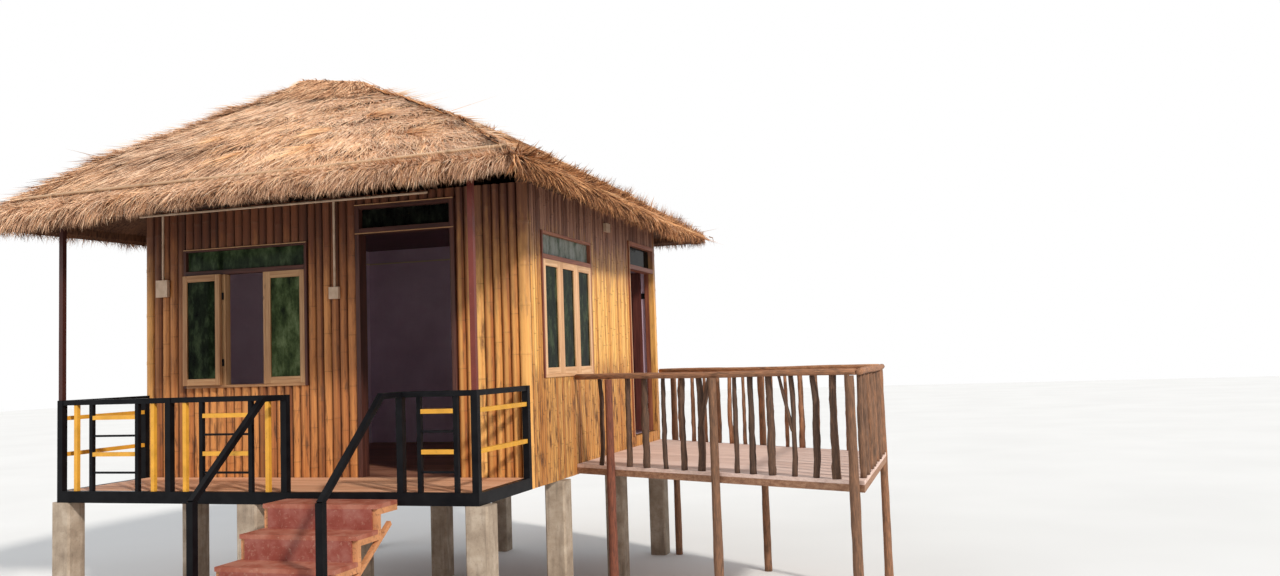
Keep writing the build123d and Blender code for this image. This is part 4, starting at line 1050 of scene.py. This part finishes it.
def thickness(share):
    """Depth of the thatch at a share of the way up a slope."""
    swell = np.minimum(share / shoulder_share, (1 - share) / (1 - shoulder_share))
    return eave_thickness + (thatch_thickness - eave_thickness) * share + shoulder_bulge * swell


def wander(s):
    """How far the line of a course strays from straight, in courses."""
    return 0.1 * np.sin(11 * s + 1) + 0.06 * np.sin(29 * s + 2)


def course_lift(share, s):
    """Extra depth where each course stands over the one below, more in some places than in others."""
    place = share * course_count + wander(s)
    along = place % 1.0
    butt = course_butt * course_count
    lift = np.where(along < butt, along / butt, (1 - along) / (1 - butt))
    uneven = 0.6 + 0.4 * np.sin(7 * s + 3 * np.floor(place))
    return course_step * uneven * lift * (place >= 1) * (share < 1)


class Slope:
    """One side of the roof between two eave corners and the ends of the ridge above them."""

    def __init__(self, corner_a, corner_b, peak_b, peak_a):
        self.corners = [np.array(point, float) for point in (corner_a, corner_b, peak_b, peak_a)]
        a, b, peak_b, peak_a = self.corners
        self.normal = unit(np.cross(b - a, peak_a - a))
        self.out = unit(np.cross(b - a, [0, 0, 1.0]))
        self.rise = float(np.linalg.norm((peak_a + peak_b) / 2 - (a + b) / 2))
        self.width = float(np.linalg.norm(b - a))
        self.area = 0.5 * (self.width + float(np.linalg.norm(peak_b - peak_a))) * self.rise

    def point(self, s, t, lift):
        """Points at a share s along the eave and t up the slope. lift is 0 below and 1 on top."""
        s = np.asarray(s, float)[:, None]
        t = np.asarray(t, float)[:, None]
        a, b, peak_b, peak_a = self.corners
        left = a + (peak_a - a) * t
        points = left + (b + (peak_b - b) * t - left) * s
        share = np.clip(t[:, 0], 0, 1)
        near = np.clip(1 - (eave_corners["rear_right"][0] - points[:, 0]) / worn_reach, 0, 1) ** 1.5
        worn = near * (worn_depth + worn_more * np.clip((points[:, 1] - 1.0) / 3.8, 0, 1))
        points[:, 2] += np.asarray(lift) * (thickness(share) + course_lift(share, s[:, 0]) - worn)
        return points

    def down(self, s, t):
        """Direction down the slope at a point, fanning out with the hips."""
        ends = []
        for shift in (-0.02, 0.02):
            place = self.point(s, t + shift, 0.0)
            place[:, 2] += thickness(np.clip(t + shift, 0, 1))
            ends.append(place)
        return unit(ends[0] - ends[1])


def drift(points, scale, phase):
    """A smooth wavy value between -1 and 1 over the roof."""
    x, y, z = points.T * scale
    return (np.sin(1.7 * x + 2.1 * y + phase) + np.sin(3.1 * x - 2.3 * y + 1.9 * z + 2 * phase)
            + np.sin(4.3 * y + 2.7 * x - z + 3 * phase)) / 3


def thatch_mat(shapes, slope, columns):
    """The closed uneven bed of thatch under the straws, in courses, with its fringe at the eave."""
    section = [(0.0, 0.0, 0.012 - fringe_drop, 0), (0.0, 0.62, 0.0, 0), (0.022, 1.0, 0.0, 0)]
    for course in range(course_count):
        shares = (0.4, 0.7, 0.98) if course == 0 else (0.001, 0.05, 0.35, 0.68, 0.98)
        section += [((course + share) / course_count, 1.0, 0.0, 1) for share in shares]
    section[-1] = (0.99, 1.0, 0.0, 0)
    section += [(share, 0.0, 0.004, 0) for share in (0.99, 0.8, 0.6, 0.4, 0.2, eave_lip)]
    section.append((0.8 * eave_lip, 0.0, 0.016 - 0.9 * fringe_drop, 0))
    rows = []
    s = np.linspace(0, 1, columns + 1)
    for t, lift, extra, strays in section:
        row = slope.point(s, np.clip(t - strays * wander(s) / course_count, 0, 0.985), lift)
        row[:, 2] += extra
        if lift == 1.0:
            row[:, 2] += 0.01 * drift(row, 2.6, 1.0) + 0.006 * drift(row, 9.0, 2.0) - mat_sink
        rows.append(row)
    wide = columns + 1
    count = len(section)
    faces = []
    for r in range(count):
        a, b = r * wide, (r + 1) % count * wide
        for c in range(columns):
            faces.append((a + c, a + c + 1, b + c + 1, b + c))
    faces.append(tuple(r * wide for r in range(count)))
    faces.append(tuple(r * wide + columns for r in reversed(range(count))))
    # The bed is dark as painted shade between the straws, and darker still on its underside.
    tones = np.repeat([0.2 if row[1] == 1.0 else 0.08 for row in section], wide)
    shapes.add(np.concatenate(rows), faces, tones, stain=0.3)


def cut_ends(tips):
    """Straw ends kept within reach of the roof."""
    low, high = (np.array(corner) for corner in cad_box)
    return np.clip(tips, low - straw_limit, high + straw_limit)


def lay_straws(shapes, slope, s, t, length, spread, width, tone, stain, sink=0.01, rise=0.01):
    """Straws whose roots lie in the bed and whose tips run down the slope."""
    roots = slope.point(s, t, 1.0)
    down = slope.down(s, t)
    side = unit(np.cross(slope.normal, down))
    angle = spread + 0.24 * drift(roots, 0.9, 7.0) + 0.14 * drift(roots, 3.2, 5.0)
    run = down * np.cos(angle)[:, None] + side * np.sin(angle)[:, None]
    normal = np.broadcast_to(slope.normal, roots.shape)
    tips = roots + run * length[:, None] + normal * (rise * uniform(0.1, 1.6, len(s)))[:, None]
    shapes.add_straws([roots - normal * sink, cut_ends(tips)], width, width * 0.45, normal, tone, stain)


def evenly(count, size, low, high):
    """One value for all the straws of each bunch, drawn evenly."""
    return np.repeat(uniform(low, high, -(-count // size)), size)[:count]


def bunched(count, size, spread):
    """One value about zero for all the straws of each bunch."""
    return np.repeat(random.normal(0, spread, -(-count // size)), size)[:count]


def scatter(count, spread):
    return random.normal(0, spread, count)


def hang_straws(shapes, slope, amount, start, lift, bend, out, drop, look, tone, stain):
    """Straws that leave the thatch near the eave, bend at its edge and hang down to an uneven fringe."""
    size = 5
    s = evenly(amount, size, -0.002, 1.002) + scatter(amount, 0.03) / slope.width
    roots = slope.point(s, uniform(*start, amount), uniform(*lift, amount))
    edge = slope.point(s, np.zeros(amount), uniform(*bend, amount))
    edge += slope.out * uniform(0.0, 0.026, amount)[:, None]
    tips = slope.point(s, np.zeros(amount), 0.0)
    heading = (slope.corners[1] - slope.corners[0]) / slope.width
    slant = look["wild"] * (bunched(amount, size, 0.03) + scatter(amount, 0.02))
    slant += 0.05 * drift(tips, 2.2, 3.0)
    ragged = 0.016 * drift(tips, 5.0, 6.0) + 0.012 * drift(tips, 17.0, 2.0) + bunched(amount, size, 0.012)
    shade = 0.08 * drift(tips, 9.0, 4.0) + bunched(amount, size, 0.15)
    tips[:, 2] -= np.interp(s, *look["reach"]) * uniform(*drop, amount) + ragged
    flare = np.interp(edge[:, 1] * (edge[:, 0] > 0.2), (1.0, 4.8), (1.0, 0.35))
    tips += slope.out * (flare * uniform(*out, amount))[:, None] + heading * slant[:, None]
    edge += heading * (0.4 * slant)[:, None]
    normal = np.broadcast_to(slope.out * 0.8 + (0, 0, 0.6), roots.shape)
    width = uniform(0.007, 0.015, amount) * look["coarse"]
    tones = np.clip(uniform(*tone, amount) + shade, 0, 1)
    shapes.add_straws([roots, edge, cut_ends(tips)], width, width * 0.45, normal, tones, stain)


def slope_straws(shapes, slope, counts, clumps, look):
    """All straws of one slope: the field in bunches, the hips, the strays and the fringe."""
    field, eave, hips, strays = counts
    wild, burnt, dim = look["wild"], look["burnt"], look["dim"]
    left_tuft, right_tuft = look["tufts"]

    def hue(places, size):
        value = burnt + 0.28 * drift(places, 1.3, 4.0) + bunched(len(places), size, 0.22)
        return np.clip(value + 0.08 * random.normal(0, 1, len(places)), 0, 1)

    def lay(s, t, length, turn, width, tone, size, **more):
        lay_straws(shapes, slope, s, t, length, turn, width, tone, hue(slope.point(s, t, 1.0), size), **more)

    # Field
    size = 7
    t = 1 - np.sqrt(1 - evenly(field, size, 0, 1) * 0.985)
    s = evenly(field, size, 0, 1)
    t = np.clip(t + scatter(field, 0.035) / slope.rise, 0.015, 0.985)
    s = np.clip(s + scatter(field, 0.022) / slope.width / (1.02 - t), 0, 1)
    places = slope.point(s, t, 1.0)
    # Paler towards the right, as painted light.
    tone = dim + look["slant"] * (s - 0.4) + 0.07 * drift(places, 1.1, 3.0) + 0.07 * drift(places, 5.0, 9.0)
    tone += (0.8 + 0.2 * wild) * (bunched(field, size, 0.17) + scatter(field, 0.18))
    length = np.minimum(uniform(0.14, 0.4, field), np.maximum(t * slope.rise + 0.05, 0.08))
    turn = wild * (bunched(field, size, 0.2) + scatter(field, 0.1))
    width = uniform(0.008, 0.017, field) * look["coarse"]
    lay(s, t, length, turn, width, np.clip(tone, 0.04, 1.0), size, rise=0.014)
    # Hips, fanning over the edge to both sides
    size = 5
    t = np.clip(evenly(hips, size, 0.01, 0.97) + scatter(hips, 0.012), 0.01, 0.98)
    right_end = evenly(hips, size, 0, 1) < 0.5
    s = np.abs(np.where(right_end, 1.0, 0.0) - uniform(0.0, 0.04, hips))
    fan = np.where(s < 0.5, 1, -1) * uniform(-0.3, 0.7, hips) + bunched(hips, size, 0.2)
    lay(s, t, uniform(0.12, 0.3, hips), fan, uniform(0.007, 0.015, hips),
        np.clip(dim + bunched(hips, size, 0.15) + scatter(hips, 0.15), 0, 1), size, sink=0.004,
        rise=np.where(right_end, right_tuft, left_tuft))
    # Long strays lying across the rest
    s = uniform(0.03, 0.97, strays)
    t = uniform(0.06, 0.95, strays)
    length = np.minimum(uniform(0.26, 0.55, strays), t * slope.rise + 0.08)
    lay(s, t, length, wild * scatter(strays, 0.42), uniform(0.006, 0.012, strays) * look["coarse"],
        np.clip(dim + 0.24 + scatter(strays, 0.15), 0.2, 1.0), 1, rise=0.024)
    # Loosened clumps that fan from one place
    for middle_s, middle_t, turn, wide, amount in clumps:
        s = middle_s + scatter(amount, 0.006)
        t = middle_t + scatter(amount, 0.01)
        lay_straws(shapes, slope, s, t, uniform(0.16, 0.44, amount), turn + scatter(amount, wide),
                   uniform(0.008, 0.015, amount), np.clip(0.84 + scatter(amount, 0.16), 0.3, 1.0),
                   uniform(0.6, 1.0, amount), rise=0.045)
    # Fringe: over the edge, out of its face, and straws behind that are dark as painted shade under the eave
    colours = hue(slope.point(uniform(0, 1, eave), np.zeros(eave), 0.0), 5)
    for amount, start, lift, bend, out, drop, tone, stain in (
        (eave, (0.012, 0.075), (0.97, 1.05), (0.55, 1.00), (0.05, 0.155), (-1.00, 0.5),
         (dim - 0.18, dim + 0.26), colours),
        (eave, (0.001, 0.006), (0.1, 0.75), (0.0, 0.6), (0.025, 0.105), (0.3, 1.08),
         (dim - 0.42, dim + 0.1), colours),
        (eave // 2, (0.006, 0.012), (-0.4, 0.0), (-0.5, -0.1), (-0.035, 0.01), (0.6, 1.0),
         (0.05, 0.32), burnt),
    ):
        hang_straws(shapes, slope, amount, start, lift, bend, out, drop, look, tone, stain)
    # Long loose straws lying askew over the eave
    loose = int(eave * 0.09 * (wild - 0.6))
    s = uniform(0.0, 1.0, loose)
    t = uniform(0.02, 0.16, loose)
    lay(s, t, uniform(0.2, 0.46, loose), scatter(loose, 0.55), uniform(0.009, 0.018, loose),
        np.clip(dim + 0.16 + scatter(loose, 0.22), 0.1, 1.0), 1, rise=0.018)


roof_slopes = {
    name: Slope(eave_corners[start], eave_corners[end], peak_b, peak_a)
    for name, start, end, peak_b, peak_a in (
        ("front", "front_left", "front_right", ridge_right, ridge_left),
        ("right", "front_right", "rear_right", ridge_right, ridge_right),
        ("rear", "rear_right", "rear_left", ridge_left, ridge_right),
        ("left", "rear_left", "front_left", ridge_left, ridge_left),
    )
}

# Looks of the slopes: how wild, burnt, dim and coarse the straws are, how much paler towards the right as
# painted light (slant), the height of the tufts at both hips, and how far the fringe hangs along the eave
# (reach). The right slope's low dim is partly painted shade.

plain_look = {"wild": 1.2, "burnt": 0.35, "dim": 0.6, "slant": 0.0, "coarse": 1.0, "tufts": (0.024, 0.024),
              "reach": ((0, 1), (0.115, 0.115))}
looks = {
    "front": {"wild": 1.0, "burnt": 0.26, "dim": 0.6, "slant": 0.56, "coarse": 1.0, "tufts": (0.065, 0.012),
              "reach": ((0, 0.14, 0.3, 0.45, 0.6, 0.76, 0.92, 1.0),
                        (0.14, 0.14, 0.1, 0.078, 0.095, 0.115, 0.115, 0.11))},
    # The right slope's low dim is partly painted shade.
    "right": {"wild": 2.4, "burnt": 1.00, "dim": 0.3, "slant": 0.0, "coarse": 1.9, "tufts": (0.012, 0.02),
              "reach": ((0, 0.08, 0.155, 0.5, 0.82, 1.0), (0.135, 0.12, 0.13, 0.165, 0.155, 0.07))},
}
front_clumps = [
    (0.665, 0.36, -0.7, 0.16, 120), (0.63, 0.2, -0.2, 0.6, 90), (0.3, 0.42, 0.1, 0.22, 40),
    (0.45, 0.22, -0.3, 0.22, 50), (0.78, 0.45, 0.6, 0.25, 60), (0.85, 0.22, 0.5, 0.3, 60),
]
density = 1.0


def build_slopes():
    """The four slopes, each a bed with its straws."""
    front = roof_slopes["front"]
    for name, slope in roof_slopes.items():
        shapes = Shapes()
        thatch_mat(shapes, slope, 56)
        share = slope.area / front.area
        clumps = front_clumps
        if name != "front":
            clumps = [
                (uniform(0.15, 0.85), uniform(0.1, 0.7), random.normal(0, 0.5), 0.35, 50)
                for _ in range(7)
            ]
        detail = density * {"front": 1.0, "right": 0.94}.get(name, 0.6)
        shares = (share, slope.width / eave_length, 1, share)
        counts = [int(count * part * detail) for count, part in zip(straw_counts, shares)]
        slope_straws(shapes, slope, counts, clumps, looks.get(name, plain_look))
        shapes.build("thatch_" + name + "_straws", straw, ["thatch_" + name])


def cap_top(x, y):
    """Level of the top of the ridge bundle at plan points."""
    left, right = ridge_left, ridge_right
    line = left[2] + (np.clip(x, left[0], right[0]) - left[0]) * (right[2] - left[2]) / (right[0] - left[0])
    beyond = np.maximum(np.maximum(left[0] - x, x - right[0]), 0)
    inset = np.minimum(x - left[0], right[0] - x)
    full = np.clip((inset + cap_overhang) / (cap_inset + cap_overhang), 0, 1)
    full = cap_end_share + (1 - cap_end_share) * full ** 0.7
    share = np.abs(y - left[1]) / (cap_half * (0.7 + 0.3 * full))
    place = np.clip((x - left[0]) / (right[0] - left[0]), 0, 1)
    across = np.where(y < left[1], 0.57 - 0.09 * place, 0.4 - 0.035 * place)
    fall = np.maximum(across * np.abs(y - left[1]), (0.9 - 0.44 * place) * beyond)
    return line + thatch_thickness - fall + cap_thickness * full * (1 - 0.5 * np.clip(share, 0, 1.2) ** 2)


def build_ridge():
    """The folded bundle over the ridge: a bed with straws bent over it and others laid along it."""
    shapes = Shapes()
    low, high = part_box("ridge_cap")
    middle = ridge_left[1]
    centre = (low.x + high.x) / 2
    count = 17
    x_values = np.linspace(low.x + 0.006, high.x - 0.006, 19)
    y = middle + cap_bed_half * np.linspace(-1, 1, count)
    rows = []
    for x in x_values:
        top = cap_top(np.full(count, x), y) - 0.01
        rows += zip(np.full(count, x), y, top)
        rows.append((x, middle, top[count // 2] - cap_bed_depth))
    shapes.add(rows, loft(len(x_values), count + 1), 0.3, stain=0.4)

    def over(x, y, run_x, run_y, length, lifts, beyond):
        lines = []
        for share, lift in zip((0.0, 0.5, 1.0), lifts):
            px = np.clip(x + run_x * share * length, low.x - beyond, high.x + beyond)
            py = y + run_y * share * length
            lines.append(np.stack([px, py, cap_top(px, py) + lift], axis=1))
        return lines

    # Straws bent over the ridge, down both sides
    amount = int(ridge_straws * density)
    size = 5
    x = evenly(amount, size, low.x - 0.06, high.x + 0.06) + scatter(amount, 0.012)
    side = np.where(bunched(amount, size, 1.0) < 0, -1.0, 1.0)
    y = middle + side * uniform(-0.03, 0.26, amount)
    length = uniform(0.12, 0.28, amount)
    lean = bunched(amount, size, 0.3) + scatter(amount, 0.15) + 0.7 * (x - centre)
    tuft = np.abs(bunched(amount, size, 0.022))
    lines = over(x, y, lean, side, length, (-0.008, 0.008, 0.004), 1.0)
    lines[1][:, 2] += 0.6 * tuft
    lines[2][:, 2] += uniform(-0.01, 0.016, amount) + tuft
    up = np.tile((0.0, 0.0, 1.0), (amount, 1))
    shapes.add_straws(lines, uniform(0.006, 0.012, amount), np.full(amount, 0.005), up,
                      np.clip(0.5 + bunched(amount, size, 0.16) + scatter(amount, 0.15), 0, 1), 0.5)
    # Straws laid along it, bending down past its ends
    amount = int(ridge_long_straws * density)
    x = uniform(low.x + 0.02, high.x - 0.02, amount)
    y = middle + uniform(-0.2, 0.2, amount)
    heading = np.where(x + scatter(amount, 0.15) > centre, 1.0, -1.0)
    length = uniform(0.1, 0.3, amount)
    lines = over(x, y, heading, scatter(amount, 0.3), length, (-0.004, 0.01, 0.008), 0.1)
    shapes.add_straws(lines, uniform(0.005, 0.011, amount), np.full(amount, 0.005), up[:amount],
                      np.clip(0.55 + scatter(amount, 0.22), 0, 1), 0.5)
    shapes.build("ridge_bundle", straw, ["ridge_cap"])


def build_batten():
    """The long bamboo batten on the front slope, ringed and a little bowed."""
    ends = roof_slopes["front"].point([0.015, 0.985], batten_shares, [1, 1])
    ends[:, 2] += batten_lifts
    share = np.linspace(0, 1, 81)
    ring = np.where((share * 10.0) % 1.0 < 0.06, 1.0, 0.0)
    line = ends[0] + np.outer(share, ends[1] - ends[0])
    line[:, 2] += 0.004 * np.sin(7 * share)
    shapes = Shapes()
    tube(shapes, line, batten_radius * (0.97 + 0.08 * ring), 10, 0.55, rough=0.02, ring=ring)
    shapes.build("batten_pole", batten_bamboo, ["thatch_battens"], smooth=True)


build_walls()
build_corner_posts()
build_window("front_window", front_place, front_window[0] + front_window[1], front_window[1], 1)
build_window("side_window", side_place, *side_window, None)
build_door_frame("front_door_frame", front_place, front_door[0] + front_door[1], front_door[1], 0,
                 front_door_bar, front_door_head)
build_door_frame("side_door_frame", side_place, *side_door, side_door_sill, side_door_bar, side_door_head)
build_cornice()
build_floors()
build_deck_floor()
build_deck_wood()
build_slopes()
build_ridge()
build_batten()


# Stage, light and camera

def build_stage():
    """A pale floor that fades into a white background, a soft key lamp and an even world."""
    size = 60.0
    mesh = bpy.data.meshes.new("stage_floor")
    corners = [(-size, -size, 0), (size, -size, 0), (size, size, 0), (-size, size, 0)]
    mesh.from_pydata(corners, [], [(0, 1, 2, 3)])
    floor = bpy.data.objects.new("stage_floor", mesh)
    bpy.context.scene.collection.objects.link(floor)
    mesh.materials.append(stage_pale)
    world = bpy.data.worlds.new("studio")
    bpy.context.scene.world = world
    world.use_nodes = True
    tree = world.node_tree
    make = tree.nodes.new
    back = feed(tree, tree.nodes["Background"], {"Color": (0.93, 0.96, 1.0), "Strength": 0.62})
    white = feed(tree, make("ShaderNodeBackground"), {"Color": (1, 1, 1), "Strength": 1.0})
    rays = make("ShaderNodeLightPath").outputs
    seen = rays["Is Camera Ray"]
    for label in ("Is Glossy Ray", "Is Transmission Ray"):
        either = feed(tree, make("ShaderNodeMath"), {0: seen, 1: rays[label]})
        either.operation = "MAXIMUM"
        seen = either.outputs["Value"]
    backs = {"Fac": seen, 1: back.outputs["Background"], 2: white.outputs["Background"]}
    mix = feed(tree, make("ShaderNodeMixShader"), backs)
    feed(tree, tree.nodes["World Output"], {"Surface": mix.outputs["Shader"]})
    for name, direction, strength, spread, colour in (
        ("key", (-0.68, 0.5, -0.54), 2.9, 4.0, (1.0, 0.95, 0.88)),
        ("fill", (0.6, 0.65, -0.5), 0.5, 50.0, (0.95, 0.97, 1.0)),
    ):
        lamp = bpy.data.lights.new(name, "SUN")
        lamp.energy = strength
        lamp.angle = math.radians(spread)
        lamp.color = colour
        holder = bpy.data.objects.new(name, lamp)
        holder.rotation_euler = Vector(direction).to_track_quat("-Z", "Y").to_euler()
        bpy.context.scene.collection.objects.link(holder)


def build_camera():
    """The photograph's viewpoint."""
    camera = bpy.data.cameras.new("viewpoint")
    camera.lens = camera_lens
    camera.sensor_width = 36
    camera.sensor_fit = "HORIZONTAL"
    camera.clip_end = 200
    holder = bpy.data.objects.new("viewpoint", camera)
    turn = Matrix((camera_right, camera_up, -camera_forward)).transposed().to_4x4()
    holder.matrix_world = Matrix.Translation(camera_place) @ turn
    bpy.context.scene.collection.objects.link(holder)
    bpy.context.scene.camera = holder


build_stage()
build_camera()
bpy.context.scene.view_settings.view_transform = "Standard"
